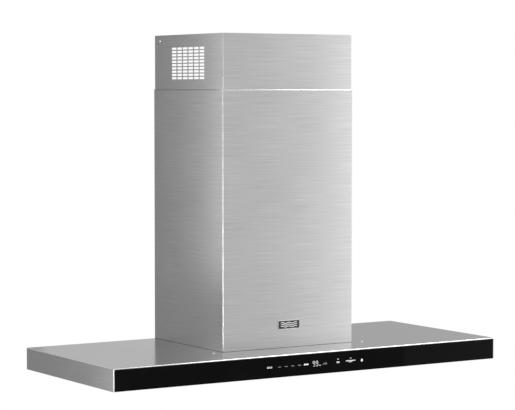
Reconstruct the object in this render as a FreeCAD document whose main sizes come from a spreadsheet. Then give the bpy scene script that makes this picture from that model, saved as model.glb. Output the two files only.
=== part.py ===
"""Wall chimney range hood with a flat box canopy, a touch glass front and a telescopic chimney.

Millimetres. +Z is up, -Y faces the cook, and the wall is the plane Y = 0.
The origin is on the wall, at the middle of the canopy's lower back edge.
"""
import FreeCAD
import Part
import math
import os
import re

Vector = FreeCAD.Vector
doc = FreeCAD.newDocument("RangeHood")

# ---------------------------------------------------------------- driving dimensions
DIMENSIONS = {
    # canopy
    "canopy_width": 1217, "canopy_depth": 500, "canopy_height": 59, "canopy_gauge": 1.2,
    "bend_radius": 2, "hem_side": 3, "hem_top": 2.8, "hem_length": 12,
    "intake_half": 180, "intake_front": 322, "intake_back": 16,
    "top_screw_x": 240, "top_screw_y": 373, "screw_hole": 2.1,
    "knockout_radius": 11.1, "knockout_x": 60, "knockout_y": 353,
    "glass_thick": 4, "glass_height": 56, "channel_gauge": 1, "channel_depth": 15,
    "board_half": 175, "board_low": 12, "board_high": 52, "board_thick": 1.6,
    "stiffener_width": 30, "stiffener_height": 12,
    # underside panel
    "panel_gap": 0.3, "panel_front": 478, "panel_low": 0.5, "panel_top": 7, "panel_gauge": 1,
    # filters
    "filter_width": 300, "filter_front": 397, "filter_back": 47, "filter_low": 3,
    "filter_height": 14, "filter_pitch": 316, "filter_gauge": 1, "filter_lip": 12,
    "latch_bay": 41, "opening_gap": 2, "opening_back": 42,
    "pivot_y": 53, "pivot_z": 11, "pivot_radius": 2.5, "pivot_length": 7.5,
    "pivot_play": 0.05, "bracket_thick": 4.5, "bracket_gap": 2.5,
    "baffle_pitch": 28, "baffle_width": 18, "baffle_gauge": 0.8,
    # lamps
    "lamp_y": 438, "lamp_inner_x": 150, "lamp_outer_x": 450, "lamp_radius": 30.5,
    "lamp_flange": 34, "lens_radius": 26,
    # chimney
    "cover_width": 418, "cover_depth": 370, "cover_gauge": 1, "seam_height": 758,
    "top_height": 909, "upper_length": 480, "cover_gap": 0.7, "cover_flange": 15,
    "vent_length": 26, "vent_height": 5.8, "vent_pitch_y": 30, "vent_pitch_z": 9,
    "vent_columns": 6, "vent_rows": 10, "vent_centre_y": 184, "vent_low_z": 790,
    "cover_screw_y": 31, "cover_screw_z": 893, "badge_width": 71, "badge_height": 25,
    "badge_thick": 1.5, "badge_z": 121,
    # blower
    "box_half": 190, "box_front": 330, "box_back": 8, "box_top": 365, "box_gauge": 1,
    "box_flange": 10, "fan_y": 195, "fan_z": 205, "fan_radius": 105, "fan_half": 95,
    "blade_inner": 86, "blade_count": 36, "scroll_half": 105, "scroll_gauge": 1,
    "scroll_start": 114, "scroll_step": 12, "inlet_radius": 84, "throat_lip": 8,
    "shaft_radius": 6, "shaft_play": 0.05, "motor_radius": 55, "motor_start": 12,
    "motor_end": 100,
    # outlet
    "collar_y": 112, "collar_radius": 98.5, "collar_gauge": 1.2, "collar_top": 430,
    "damper_z": 385, "damper_pin_radius": 2, "flap_radius": 95.5, "flap_gauge": 0.8,
    # wall fixings
    "cleat_half": 170, "cleat_low": 270, "cleat_high": 320, "cleat_gauge": 2,
    "cleat_hole_x": 150, "cleat_hole_z": 15, "cleat_hole_radius": 4,
    "bracket_half": 188, "wall_bracket_low": 882, "wall_bracket_high": 905,
    "wall_bracket_gauge": 1.5,
}

sheet = doc.addObject("Spreadsheet::Sheet", "Sheet")
for row, (alias, number) in enumerate(DIMENSIONS.items(), start=1):
    sheet.set("A%d" % row, alias)
    sheet.set("B%d" % row, str(number))
    sheet.setAlias("B%d" % row, alias)
doc.recompute()

ALIAS = re.compile(r"\b(" + "|".join(sorted(DIMENSIONS, key=len, reverse=True)) + r")\b")
nodes = []


def bound(text):
    """An expression on the sheet's cells, from text that names them plainly."""
    return ALIAS.sub(r"Sheet.\1", str(text))


def size(alias):
    """A cell's value, for the shapes that are set by code."""
    return float(sheet.get(alias))


def bind(obj, pairs):
    for path, text in pairs.items():
        obj.setExpression(path, bound(text))


def node(label, obj):
    """Marks an object as one of the hood's pieces."""
    obj.Label = label
    nodes.append(obj)
    return obj


# ---------------------------------------------------------------- helpers for primitives
def box(name, x, y, z, length, width, height):
    """A block with its low corner at x, y, z. Every argument is an expression."""
    obj = doc.addObject("Part::Box", name)
    bind(obj, {"Length": length, "Width": width, "Height": height,
               "Placement.Base.x": x, "Placement.Base.y": y, "Placement.Base.z": z})
    return obj


TURN = {"z": (Vector(0, 0, 1), 0), "x": (Vector(0, 1, 0), 90), "y": (Vector(1, 0, 0), -90)}


def cylinder(name, axis, x, y, z, radius, length):
    """A cylinder from x, y, z along +axis."""
    obj = doc.addObject("Part::Cylinder", name)
    obj.Placement = FreeCAD.Placement(Vector(), FreeCAD.Rotation(*TURN[axis]))
    bind(obj, {"Radius": radius, "Height": length,
               "Placement.Base.x": x, "Placement.Base.y": y, "Placement.Base.z": z})
    return obj


def cone(name, axis, x, y, z, start_radius, end_radius, length):
    obj = doc.addObject("Part::Cone", name)
    obj.Placement = FreeCAD.Placement(Vector(), FreeCAD.Rotation(*TURN[axis]))
    bind(obj, {"Radius1": start_radius, "Radius2": end_radius, "Height": length,
               "Placement.Base.x": x, "Placement.Base.y": y, "Placement.Base.z": z})
    return obj


def fuse(name, shapes):
    obj = doc.addObject("Part::MultiFuse", name)
    obj.Shapes = shapes
    return obj


def cut(name, base, tools):
    tool = tools[0] if len(tools) == 1 else fuse(name + "_tools", tools)
    obj = doc.addObject("Part::Cut", name)
    obj.Base, obj.Tool = base, tool
    return obj


def common(name, base, tool):
    obj = doc.addObject("Part::Common", name)
    obj.Base, obj.Tool = base, tool
    return obj


def made(name, shape):
    """A piece whose shape is built by code from the sheet's values."""
    obj = doc.addObject("Part::Feature", name)
    obj.Shape = shape
    return obj


# ---------------------------------------------------------------- helpers for bodies
def body(label):
    obj = doc.addObject("PartDesign::Body", label + "_body")
    return node(label, obj)


def plane(owner, role):
    return next(f for f in owner.Origin.OriginFeatures if f.Role == role)


def rectangle(owner, name, role, left, low, width, height, offset="0"):
    """A constrained rectangle sketch on one of the body's origin planes."""
    import Sketcher
    sketch = owner.newObject("Sketcher::SketchObject", name)
    sketch.AttachmentSupport = [(plane(owner, role), "")]
    sketch.MapMode = "FlatFace"
    sketch.setExpression("AttachmentOffset.Base.z", bound(offset))
    corners = [Vector(0, 0, 0), Vector(10, 0, 0), Vector(10, 10, 0), Vector(0, 10, 0)]
    for i in range(4):
        sketch.addGeometry(Part.LineSegment(corners[i], corners[(i + 1) % 4]), False)
    for i in range(4):
        sketch.addConstraint(Sketcher.Constraint("Coincident", i, 2, (i + 1) % 4, 1))
    for i in range(4):
        sketch.addConstraint(Sketcher.Constraint("Vertical" if i % 2 else "Horizontal", i))
    sized = [("DistanceX", (-1, 1, 0, 1), left), ("DistanceY", (-1, 1, 0, 1), low),
             ("DistanceX", (0, 1, 0, 2), width), ("DistanceY", (1, 1, 1, 2), height)]
    for kind, where, text in sized:
        index = sketch.addConstraint(Sketcher.Constraint(kind, *where, 1.0))
        sketch.setExpression("Constraints[%d]" % index, bound(text))
    return sketch


def circle(owner, name, role, x, y, radius):
    import Sketcher
    sketch = owner.newObject("Sketcher::SketchObject", name)
    sketch.AttachmentSupport = [(plane(owner, role), "")]
    sketch.MapMode = "FlatFace"
    sketch.addGeometry(Part.Circle(Vector(1, 1, 0), Vector(0, 0, 1), 1), False)
    for kind, where, text in [("DistanceX", (-1, 1, 0, 3), x), ("DistanceY", (-1, 1, 0, 3), y),
                              ("Radius", (0,), radius)]:
        index = sketch.addConstraint(Sketcher.Constraint(kind, *where, 1.0))
        sketch.setExpression("Constraints[%d]" % index, bound(text))
    return sketch


def pad(owner, sketch, length):
    feature = owner.newObject("PartDesign::Pad", sketch.Name + "_pad")
    feature.Profile = sketch
    sketch.Visibility = False
    bind(feature, {"Length": length})
    doc.recompute()
    return feature


def pocket(owner, sketch, length, reverse=True, midplane=False):
    """Cuts away the sketch's area. Fails if it removes nothing."""
    before = owner.Shape.Volume
    feature = owner.newObject("PartDesign::Pocket", sketch.Name + "_pocket")
    feature.Profile = sketch
    feature.Reversed = reverse
    feature.Midplane = midplane
    bind(feature, {"Length": length})
    doc.recompute()
    if owner.Shape.Volume > before - 1e-3:
        raise RuntimeError(feature.Name + " cuts nothing")
    return feature


def fillet(owner, name, radius, chosen):
    """Rounds the edges that the test picks by their middle and direction."""
    feature = owner.newObject("PartDesign::Fillet", name)
    base = owner.Tip if owner.Tip is not feature else owner.Group[-2]
    picked = []
    for number, edge in enumerate(base.Shape.Edges, start=1):
        if len(edge.Vertexes) < 2:
            continue
        along = (edge.Vertexes[1].Point - edge.Vertexes[0].Point).normalize()
        if chosen(edge.CenterOfMass, along):
            picked.append("Edge%d" % number)
    feature.Base = (base, picked)
    bind(feature, {"Radius": radius})
    doc.recompute()
    return feature


# ---------------------------------------------------------------- canopy
def canopy_shell():
    """Stainless box, open below and at the front: a top sheet with the hem over the glass, two
    end plates and a back plate."""
    hood = doc.addObject("PartDesign::Body", "canopy_blank")
    pad(hood, rectangle(hood, "canopy_outline", "XY_Plane", "-canopy_width/2",
                        "-canopy_depth", "canopy_width", "canopy_depth"), "canopy_height")
    top = size("canopy_height")
    fillet(hood, "canopy_folds", "bend_radius",
           lambda middle, along: abs(along.z) > 0.9 or middle.z > top - 0.01)
    pocket(hood, rectangle(hood, "canopy_hollow", "XY_Plane",
                           "-canopy_width/2 + canopy_gauge", "-canopy_depth + hem_length",
                           "canopy_width - 2*canopy_gauge",
                           "canopy_depth - hem_length - canopy_gauge"),
           "canopy_height - canopy_gauge")
    pocket(hood, rectangle(hood, "glass_recess", "XY_Plane", "-canopy_width/2 + hem_side",
                           "-canopy_depth - 1", "canopy_width - 2*hem_side", "hem_length + 2"),
           "canopy_height - hem_top")
    pocket(hood, rectangle(hood, "intake", "XY_Plane", "-intake_half", "-intake_front",
                           "2*intake_half", "intake_front - intake_back"), "canopy_height + 1")
    pocket(hood, circle(hood, "knockout", "XY_Plane", "knockout_x", "-knockout_y",
                        "knockout_radius"), "canopy_height + 1")
    for side, sign in (("left", "-"), ("right", "")):
        pocket(hood, circle(hood, "screw_hole_" + side, "XY_Plane", sign + "top_screw_x",
                            "-top_screw_y", "screw_hole"), "canopy_height + 1")
    for i, (x, y) in enumerate(BOX_SCREWS):
        pocket(hood, circle(hood, "flange_hole_%d" % i, "XY_Plane", x, y, "screw_hole"),
               "canopy_height + 1")

    def zone(name, left, width):
        """The part of the box below the top sheet, between two planes across it."""
        return box(name, left, "-canopy_depth - 1", -1, width, "canopy_depth + 2",
                   "canopy_height - hem_top + 1")

    node("canopy_shell", cut("canopy_sheet", hood, [
        zone("zone_below", "-canopy_width/2 - 1", "canopy_width + 2")]))
    node("canopy_end_left", common("end_plate_left", hood, zone(
        "zone_left", "-canopy_width/2 - 1", "hem_side + 1")))
    node("canopy_end_right", common("end_plate_right", hood, zone(
        "zone_right", "canopy_width/2 - hem_side", "hem_side + 1")))
    node("canopy_back", common("back_plate", hood, zone(
        "zone_middle", "-canopy_width/2 + hem_side", "canopy_width - 2*hem_side")))


BOX_SCREWS = [(sign + "(box_half + box_flange/2)", y) for sign in ("-", "")
              for y in ("-box_front + 20", "-box_front/2", "-box_back - 20")]


def front_glass():
    """Tempered glass strip that carries the touch controls."""
    glass = body("front_glass")
    pad(glass, rectangle(glass, "glass_outline", "XY_Plane",
                         "-canopy_width/2 + hem_side + 0.1", "-canopy_depth",
                         "canopy_width - 2*hem_side - 0.2", "glass_thick"), "glass_height")
    front = -size("canopy_depth")
    fillet(glass, "glass_ground_edge", 0.6, lambda middle, along: abs(middle.y - front) < 0.01)


def glass_channel():
    """Steel channel behind the glass, with a window for the touch board."""
    length = "canopy_width - 2*hem_side - 6"
    left = "-canopy_width/2 + hem_side + 3"
    back_of_glass = "-canopy_depth + glass_thick"
    outer = box("channel_block", left, back_of_glass, 6, length, "channel_depth", 48)
    hollow = box("channel_hollow", left, back_of_glass + " + channel_gauge", "6 + channel_gauge",
                 length, "channel_depth", "48 - 2*channel_gauge")
    window = box("channel_window", "-board_half - 1", back_of_glass + " - 1", "board_low - 1",
                 "2*board_half + 2", 4, "board_high - board_low + 2")
    node("glass_channel", cut("channel", outer, [hollow, window]))


def touch_board():
    """Circuit board with the touch pads, pressed against the back of the glass."""
    back_of_glass = "-canopy_depth + glass_thick"
    board = box("board_plate", "-board_half", back_of_glass, "board_low", "2*board_half",
                "board_thick", "board_high - board_low")
    chips = [box("board_chip_%d" % i, x, back_of_glass + " + board_thick - 0.01", z, 14, 2.4, 9)
             for i, (x, z) in enumerate([(-120, 26), (-20, 24), (60, 28), (130, 26)])]
    node("touch_board", fuse("board", [board] + chips))


def stiffener(side, sign):
    """Hat channel under the canopy top that the visible top screw holds."""
    x = sign + "top_screw_x - stiffener_width/2"
    top = "canopy_height - canopy_gauge"
    outer = box("stiffener_block_" + side, x, "-canopy_depth + 30", top + " - stiffener_height",
                "stiffener_width", "canopy_depth - 45", "stiffener_height")
    hollow = box("stiffener_hollow_" + side, x + " + 1", "-canopy_depth + 29",
                 top + " - stiffener_height - 1", "stiffener_width - 2", "canopy_depth - 40",
                 "stiffener_height")
    hole = cylinder("stiffener_hole_" + side, "z", sign + "top_screw_x", "-top_screw_y",
                    top + " - 5", "screw_hole", 10)
    node("stiffener_" + side, cut("stiffener_cut_" + side, outer, [hollow, hole]))


def dome_screw(name, x, y, z, head=5.0, dome=2.2, shank=1.95, length=9.0):
    """A dome-headed screw that points down, with a cross recess. Values, not expressions."""
    ball_radius = (head ** 2 + dome ** 2) / (2 * dome)
    ball = Part.makeSphere(ball_radius, Vector(0, 0, dome - ball_radius))
    cap = ball.common(Part.makeCylinder(head, dome))
    screw = cap.fuse(Part.makeCylinder(shank, length, Vector(0, 0, -length)))
    for turn in (0, 90):
        slot = Part.makeBox(head, 0.9, dome, Vector(-head / 2, -0.45, dome * 0.45))
        slot.rotate(Vector(), Vector(0, 0, 1), turn)
        screw = screw.cut(slot)
    screw.translate(Vector(x, y, z))
    return screw


def top_screws():
    across, back = size("top_screw_x"), -size("top_screw_y")
    screws = [dome_screw("s", sign * across, back, size("canopy_height")) for sign in (-1, 1)]
    node("top_screws", made("top_screw_pair", Part.makeCompound(screws)))


# ---------------------------------------------------------------- underside
def underside_panel():
    """Inset tray that closes the canopy from below, with the filter and lamp openings."""
    half = "canopy_width/2 - canopy_gauge - panel_gap"
    back = "-canopy_gauge - panel_gap"
    block = box("panel_block", "-(" + half + ")", "-panel_front", "panel_low", "2*(" + half + ")",
                "panel_front + (" + back + ")", "panel_top - panel_low")
    hollow = box("panel_hollow", "-(" + half + ") + panel_gauge", "-panel_front + panel_gauge",
                 "panel_low - 1", "2*(" + half + ") - 2*panel_gauge",
                 "panel_front + (" + back + ") - 2*panel_gauge",
                 "panel_top - panel_low + 1 - panel_gauge")
    tools = [hollow]
    for side, place in FILTERS.items():
        tools.append(box("filter_opening_" + side,
                         "%d*filter_pitch - filter_width/2 - opening_gap" % place,
                         "-filter_front - opening_gap", "panel_low - 1",
                         "filter_width + 2*opening_gap",
                         "filter_front + opening_gap - opening_back", "panel_top + 2"))
    for number, x in LAMPS.items():
        tools.append(cylinder("lamp_opening_%d" % number, "z", x, "-lamp_y", "panel_low - 1",
                              "lamp_radius + 0.5", "panel_top + 2"))
    node("underside_panel", cut("panel", block, tools))


FILTERS = {"left": -1, "centre": 0, "right": 1}
LAMPS = {1: "-lamp_outer_x", 2: "-lamp_inner_x", 3: "lamp_inner_x", 4: "lamp_outer_x"}


def lamp(number, x):
    """Round downlight: a bezel that clips into the panel and the glass in it."""
    sheet_low = "panel_top - panel_gauge"
    flange = cylinder("bezel_flange_%d" % number, "z", x, "-lamp_y", sheet_low + " - 1.5",
                      "lamp_flange", 1.5)
    barrel = cylinder("bezel_barrel_%d" % number, "z", x, "-lamp_y", sheet_low + " - 0.5",
                      "lamp_radius", 16)
    seat = cylinder("bezel_seat_%d" % number, "z", x, "-lamp_y", sheet_low + " - 0.5",
                    "lens_radius + 0.2", 17)
    mouth = cone("bezel_mouth_%d" % number, "z", x, "-lamp_y", sheet_low + " - 1.6",
                 "lens_radius + 2", "lens_radius - 1.5", 1.8)
    return cut("bezel_%d" % number, fuse("bezel_solid_%d" % number, [flange, barrel]),
               [seat, mouth])


def lamp_insides():
    """The four lenses and the four LED modules with their finned heat sinks."""
    low = size("panel_top") - size("panel_gauge") - 0.3
    radius, lenses, modules = size("lens_radius"), [], []
    for place in (-size("lamp_outer_x"), -size("lamp_inner_x"),
                  size("lamp_inner_x"), size("lamp_outer_x")):
        centre = Vector(place, -size("lamp_y"), low)
        lenses.append(Part.makeCylinder(radius, 2.2, centre))
        plate = Part.makeCylinder(radius - 1, 3, centre + Vector(0, 0, 4))
        fins = [Part.makeCylinder(radius - 2, 1.2, centre + Vector(0, 0, 9 + 3 * i))
                for i in range(4)]
        core = Part.makeCylinder(9, 15, centre + Vector(0, 0, 6))
        modules.append(plate.multiFuse(fins + [core]))
    node("lamp_lenses", made("lens_set", Part.makeCompound(lenses)))
    node("lamp_modules", made("module_set", Part.makeCompound(modules)))


# ---------------------------------------------------------------- grease filters
def filter_frame(side, place):
    """Folded ring with side lips, a latch bay at the front and pivot pins at the back."""
    middle = "%d*filter_pitch" % place
    half = "filter_width/2"
    depth = "filter_front - filter_back"
    block = box("frame_block_" + side, middle + " - " + half, "-filter_front", "filter_low",
                "filter_width", depth, "filter_height")
    hollow = box("frame_hollow_" + side, middle + " - " + half + " + filter_gauge",
                 "-filter_front + filter_gauge", "filter_low + filter_gauge",
                 "filter_width - 2*filter_gauge", depth + " - 2*filter_gauge",
                 "filter_height - 2*filter_gauge")
    window = box("frame_window_" + side, middle + " - " + half + " + filter_lip",
                 "-filter_front + latch_bay + 2", "filter_low - 1",
                 "filter_width - 2*filter_lip", depth + " - latch_bay - 2 - filter_lip",
                 "filter_height + 2")
    slot = box("frame_slot_" + side, middle + " - 21", "-filter_front - 1", 7.7, 42, 3, 2.6)
    finger = box("frame_finger_" + side, middle + " - 16", "-filter_front + 4",
                 "filter_low - 1", 32, 30, 3)
    wall = box("frame_wall_" + side, middle + " - " + half + " + 0.5",
               "-filter_front + latch_bay", "filter_low + 0.5", "filter_width - 1",
               "filter_gauge", "filter_height - 1")
    pins = [cylinder("frame_pin_%s_%d" % (side, i), "x", start, "-pivot_y", "pivot_z",
                     "pivot_radius", "pivot_length + 0.5")
            for i, start in enumerate((middle + " - " + half + " - pivot_length",
                                       middle + " + " + half + " - 0.5"))]
    ring = cut("frame_ring_" + side, block, [hollow, window, slot, finger])
    node("filter_frame_" + side, fuse("frame_" + side, [ring, wall] + pins))


def channel(x, low, width, height, gauge, y0, y1, open_up):
    """A U channel along Y, standing on z = low, open above or below."""
    outer = Part.makeBox(width, y1 - y0, height, Vector(x - width / 2, y0, low))
    shift = gauge if open_up else -gauge
    inner = Part.makeBox(width - 2 * gauge, y1 - y0, height,
                         Vector(x - width / 2 + gauge, y0, low + shift))
    return outer.cut(inner)


def filter_baffles(side, place):
    """Two interlocking layers of channels that turn the air and catch the grease."""
    middle, gauge = place * size("filter_pitch"), size("baffle_gauge")
    pitch, width = size("baffle_pitch"), size("baffle_width")
    y0 = -size("filter_front") + size("latch_bay") + size("filter_gauge") + 0.2
    y1 = -size("filter_back") - size("filter_gauge") - 0.2
    low = size("filter_low") + size("filter_gauge") + 0.2
    lower = [channel(middle + (i - 4.5) * pitch, low, width, 5.6, gauge, y0, y1, True)
             for i in range(10)]
    upper = [channel(middle + (i - 4) * pitch, low + 4.2, width, 7.2, gauge, y0, y1, False)
             for i in range(9)]
    node("filter_baffles_" + side, made("baffles_" + side, Part.makeCompound(lower + upper)))


def latch_bolt(side, place):
    """Sliding bolt with a bent finger pull, stored just short of the keeper."""
    middle = "%d*filter_pitch" % place
    bolt = box("bolt_plate_" + side, middle + " - 20", "-filter_front - 1.5", 8, 40, 33.5, 2)
    pull = box("bolt_pull_" + side, middle + " - 13", "-filter_front + 14", "filter_low - 1.5",
               26, 1.5, 7)
    curl = cylinder("bolt_curl_" + side, "x", middle + " - 13", "-filter_front + 14.75",
                    "filter_low - 1", 1.3, 26)
    node("latch_bolt_" + side, fuse("bolt_" + side, [bolt, pull, curl]))


def filter_seats():
    """Rear pivot brackets and the front keeper plates on the panel."""
    brackets, keepers = [], []
    for side, place in FILTERS.items():
        middle = "%d*filter_pitch" % place
        edge = "(filter_width/2 + bracket_gap)"
        for hand, start in (("a", middle + " - " + edge + " - bracket_thick"),
                            ("b", middle + " + " + edge)):
            name = side + "_" + hand
            block = box("seat_block_" + name, start, "-pivot_y - 6", "panel_top",
                        "bracket_thick", 12, "pivot_z - panel_top + 6")
            bore = cylinder("seat_bore_" + name, "x", start + " - 1", "-pivot_y", "pivot_z",
                            "pivot_radius + pivot_play", "bracket_thick + 2")
            brackets.append(cut("seat_" + name, block, [bore]))
        keepers.append(box("keeper_" + side, middle + " - 30", "-filter_front - 16",
                           "panel_top", 60, "16 - opening_gap", 0.8))
    node("filter_brackets", fuse("bracket_set", brackets))
    node("latch_keepers", fuse("keeper_set", keepers))


# ---------------------------------------------------------------- chimney
def cover(label, width, depth, low, length, gauge_back):
    """U-shaped stainless cover with rolled front corners and narrow flanges at the wall."""
    chimney = body(label)
    pad(chimney, rectangle(chimney, label + "_outline", "XY_Plane", "-(" + width + ")/2",
                           "-(" + depth + ")", width, depth + " - " + gauge_back, low), length)
    front = chimney.Shape.BoundBox.YMin
    fillet(chimney, label + "_folds", "bend_radius",
           lambda middle, along: abs(along.z) > 0.9 and abs(middle.y - front) < 0.01)
    pocket(chimney, rectangle(chimney, label + "_inside", "XY_Plane",
                              "-(" + width + ")/2 + cover_gauge",
                              "-(" + depth + ") + cover_gauge",
                              "(" + width + ") - 2*cover_gauge",
                              "(" + depth + ") - 2*cover_gauge - " + gauge_back, low), length)
    pocket(chimney, rectangle(chimney, label + "_back", "XY_Plane",
                              "-(" + width + ")/2 + cover_flange", "-cover_depth/2",
                              "(" + width + ") - 2*cover_flange", "cover_depth/2 + 1", low),
           length)
    return chimney


def lower_cover():
    cover("lower_cover", "cover_width", "cover_depth", "canopy_height",
          "seam_height - canopy_height", "0")


def upper_cover():
    """Inner telescoping cover, with a block of vent slots through both sides."""
    inset = "(cover_gauge + cover_gap)"
    chimney = cover("upper_cover", "cover_width - 2*" + inset, "cover_depth - " + inset,
                    "top_height - upper_length", "upper_length", inset)
    slot = rectangle(chimney, "vent_slot", "YZ_Plane",
                     "-vent_centre_y - (vent_columns*vent_pitch_y - vent_pitch_y"
                     " + vent_length)/2", "vent_low_z - vent_height/2", "vent_length",
                     "vent_height")
    first = pocket(chimney, slot, "2*cover_width", midplane=True)
    along = chimney.newObject("PartDesign::LinearPattern", "vents_along")
    along.Direction = (slot, ["H_Axis"])
    bind(along, {"Length": "(vent_columns - 1)*vent_pitch_y", "Occurrences": "vent_columns"})
    upward = chimney.newObject("PartDesign::LinearPattern", "vents_upward")
    upward.Direction = (slot, ["V_Axis"])
    bind(upward, {"Length": "(vent_rows - 1)*vent_pitch_z", "Occurrences": "vent_rows"})
    grid = chimney.newObject("PartDesign::MultiTransform", "vent_grid")
    grid.Originals = [first]
    grid.Transformations = [along, upward]
    chimney.Tip = grid
    doc.recompute()
    holes = circle(chimney, "cover_screw_hole", "YZ_Plane", "-cover_screw_y",
                   "cover_screw_z", "screw_hole")
    pocket(chimney, holes, "2*cover_width", midplane=True)


def badge_plate():
    badge = body("badge_plate")
    pad(badge, rectangle(badge, "badge_outline", "XY_Plane", "-badge_width/2",
                         "-cover_depth - badge_thick", "badge_width", "badge_thick",
                         "badge_z - badge_height/2"), "badge_height")
    front = badge.Shape.BoundBox.YMin
    fillet(badge, "badge_edge", 0.5, lambda middle, along: abs(middle.y - front) < 0.01)


def glide_strips():
    """Thin strips inside the lower cover that keep the two covers from scratching."""
    low = "seam_height - 50"
    inner = "(cover_width/2 - cover_gauge)"
    strips = [box("glide_left", "-" + inner, "-260", low, 0.5, 90, 36),
              box("glide_right", inner + " - 0.5", "-260", low, 0.5, 90, 36)]
    strips += [box("glide_front_%d" % i, x, "-cover_depth + cover_gauge", low, 60, 0.5, 36)
               for i, x in enumerate((-150, 90))]
    node("glide_strips", fuse("glides", strips))


def upper_wall_bracket():
    """Bent strap on the wall that the upper cover is screwed to."""
    gauge, low = "wall_bracket_gauge", "wall_bracket_low"
    tall = "wall_bracket_high - wall_bracket_low"
    inner = "(cover_width/2 - 2*cover_gauge - cover_gap - 0.3)"
    plate = box("strap_plate", "-bracket_half", "-" + gauge, low, "2*bracket_half", gauge, tall)
    parts = [plate]
    for side, sign in (("left", -1), ("right", 1)):
        start = "-bracket_half" if sign < 0 else "bracket_half - 1.5"
        parts.append(box("strap_jog_" + side, start, "-4.5", low, 1.5, 4.5, tall))
        wing = "-" + inner if sign < 0 else "bracket_half - 1.5"
        parts.append(box("strap_wing_" + side, wing, "-4.5", low,
                         inner + " - bracket_half + 1.5", 1.5, tall))
        ear = "-" + inner if sign < 0 else inner + " - 1.5"
        parts.append(box("strap_ear_" + side, ear, "-60", low, 1.5, 57, tall))
    holes = [cylinder("strap_screw_hole", "x", -250, "-cover_screw_y", "cover_screw_z",
                      "screw_hole", 500)]
    for i, x in enumerate(("-cleat_hole_x", "cleat_hole_x")):
        holes.append(cylinder("strap_hole_%d" % i, "y", x, "-10",
                              "(wall_bracket_low + wall_bracket_high)/2", "cleat_hole_radius",
                              20))
    node("upper_wall_bracket", cut("strap", fuse("strap_solid", parts), holes))


def cover_screws():
    """Dome screws through the sides of the upper cover into the wall bracket."""
    outer = size("cover_width") / 2 - size("cover_gauge") - size("cover_gap")
    screws = []
    for sign in (-1, 1):
        screw = dome_screw("s", 0, 0, 0, head=4.0, dome=1.9, length=6.0)
        screw.rotate(Vector(), Vector(0, 1, 0), 90 * sign)
        screw.translate(Vector(sign * outer, -size("cover_screw_y"), size("cover_screw_z")))
        screws.append(screw)
    node("cover_screws", made("cover_screw_pair", Part.makeCompound(screws)))


def cover_locators():
    """Small angles on the canopy that the lower cover drops over."""
    brackets = []
    for side, x in (("left", -150), ("right", 110)):
        foot = box("locator_foot_" + side, x, "-cover_depth + cover_gauge + 0.3",
                   "canopy_height", 40, 18, 1.5)
        stem = box("locator_stem_" + side, x, "-cover_depth + cover_gauge + 0.3",
                   "canopy_height", 40, 1.5, 28)
        brackets.append(fuse("locator_" + side, [foot, stem]))
    node("cover_locators", fuse("locators", brackets))


# ---------------------------------------------------------------- blower
def blower_box():
    """Galvanised case that hangs on the wall and carries the fan above the canopy."""
    half, gauge = "box_half", "box_gauge"
    low = "canopy_height"
    case = box("case_block", "-" + half, "-box_front", low, "2*" + half, "box_front - box_back",
               "box_top - canopy_height")
    flange = box("case_flange", "-box_half - box_flange", "-box_front - box_flange", low,
                 "2*box_half + 2*box_flange", "box_front + box_flange - box_back", 1.2)
    hollow = box("case_hollow", "-" + half + " + " + gauge, "-box_front + " + gauge, low + " - 1",
                 "2*" + half + " - 2*" + gauge, "box_front - box_back - 2*" + gauge,
                 "box_top - canopy_height - " + gauge + " + 1")
    throat = box("case_throat", "-scroll_half", "-fan_y + throat_lip", "box_top - 5",
                 "2*scroll_half", "scroll_start + 3*scroll_step - throat_lip", 10)
    tools = [hollow, throat]
    for i, (x, y) in enumerate(BOX_SCREWS):
        tools.append(cylinder("case_screw_%d" % i, "z", x, y, low + " - 1", "screw_hole", 5))
    node("blower_box", cut("case", fuse("case_solid", [case, flange]), tools))


def box_screws():
    screws = []
    for sign in (-1, 1):
        for y in (-size("box_front") + 20, -size("box_front") / 2, -size("box_back") - 20):
            screws.append(dome_screw("s", sign * (size("box_half") + size("box_flange") / 2), y,
                                     size("canopy_height") + 1.2, head=4.0, dome=2.0))
    node("box_screws", made("box_screw_set", Part.makeCompound(screws)))


def scroll_path(offset):
    """The volute's side line: down the back wall, round the wheel and up the front lip."""
    y, z = -size("fan_y"), size("fan_z")
    start, step, top = size("scroll_start"), size("scroll_step"), size("box_top") - 1
    lip = size("throat_lip")

    def on_spiral(turn):
        radius = start + step * (3 - turn / 90.0) + offset
        angle = math.radians(-turn)
        return Vector(0, y + radius * math.cos(angle), z + radius * math.sin(angle))

    corner = Vector(0, y + lip - offset, on_spiral(270).z)
    edges = [Part.makeLine(Vector(0, on_spiral(0).y, top), on_spiral(0))]
    for quarter in range(3):
        turn = 90 * quarter
        arc = Part.Arc(on_spiral(turn), on_spiral(turn + 45), on_spiral(turn + 90))
        edges.append(arc.toShape())
    edges.append(Part.makeLine(on_spiral(270), corner))
    edges.append(Part.makeLine(corner, Vector(0, corner.y, top)))
    return edges


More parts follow.
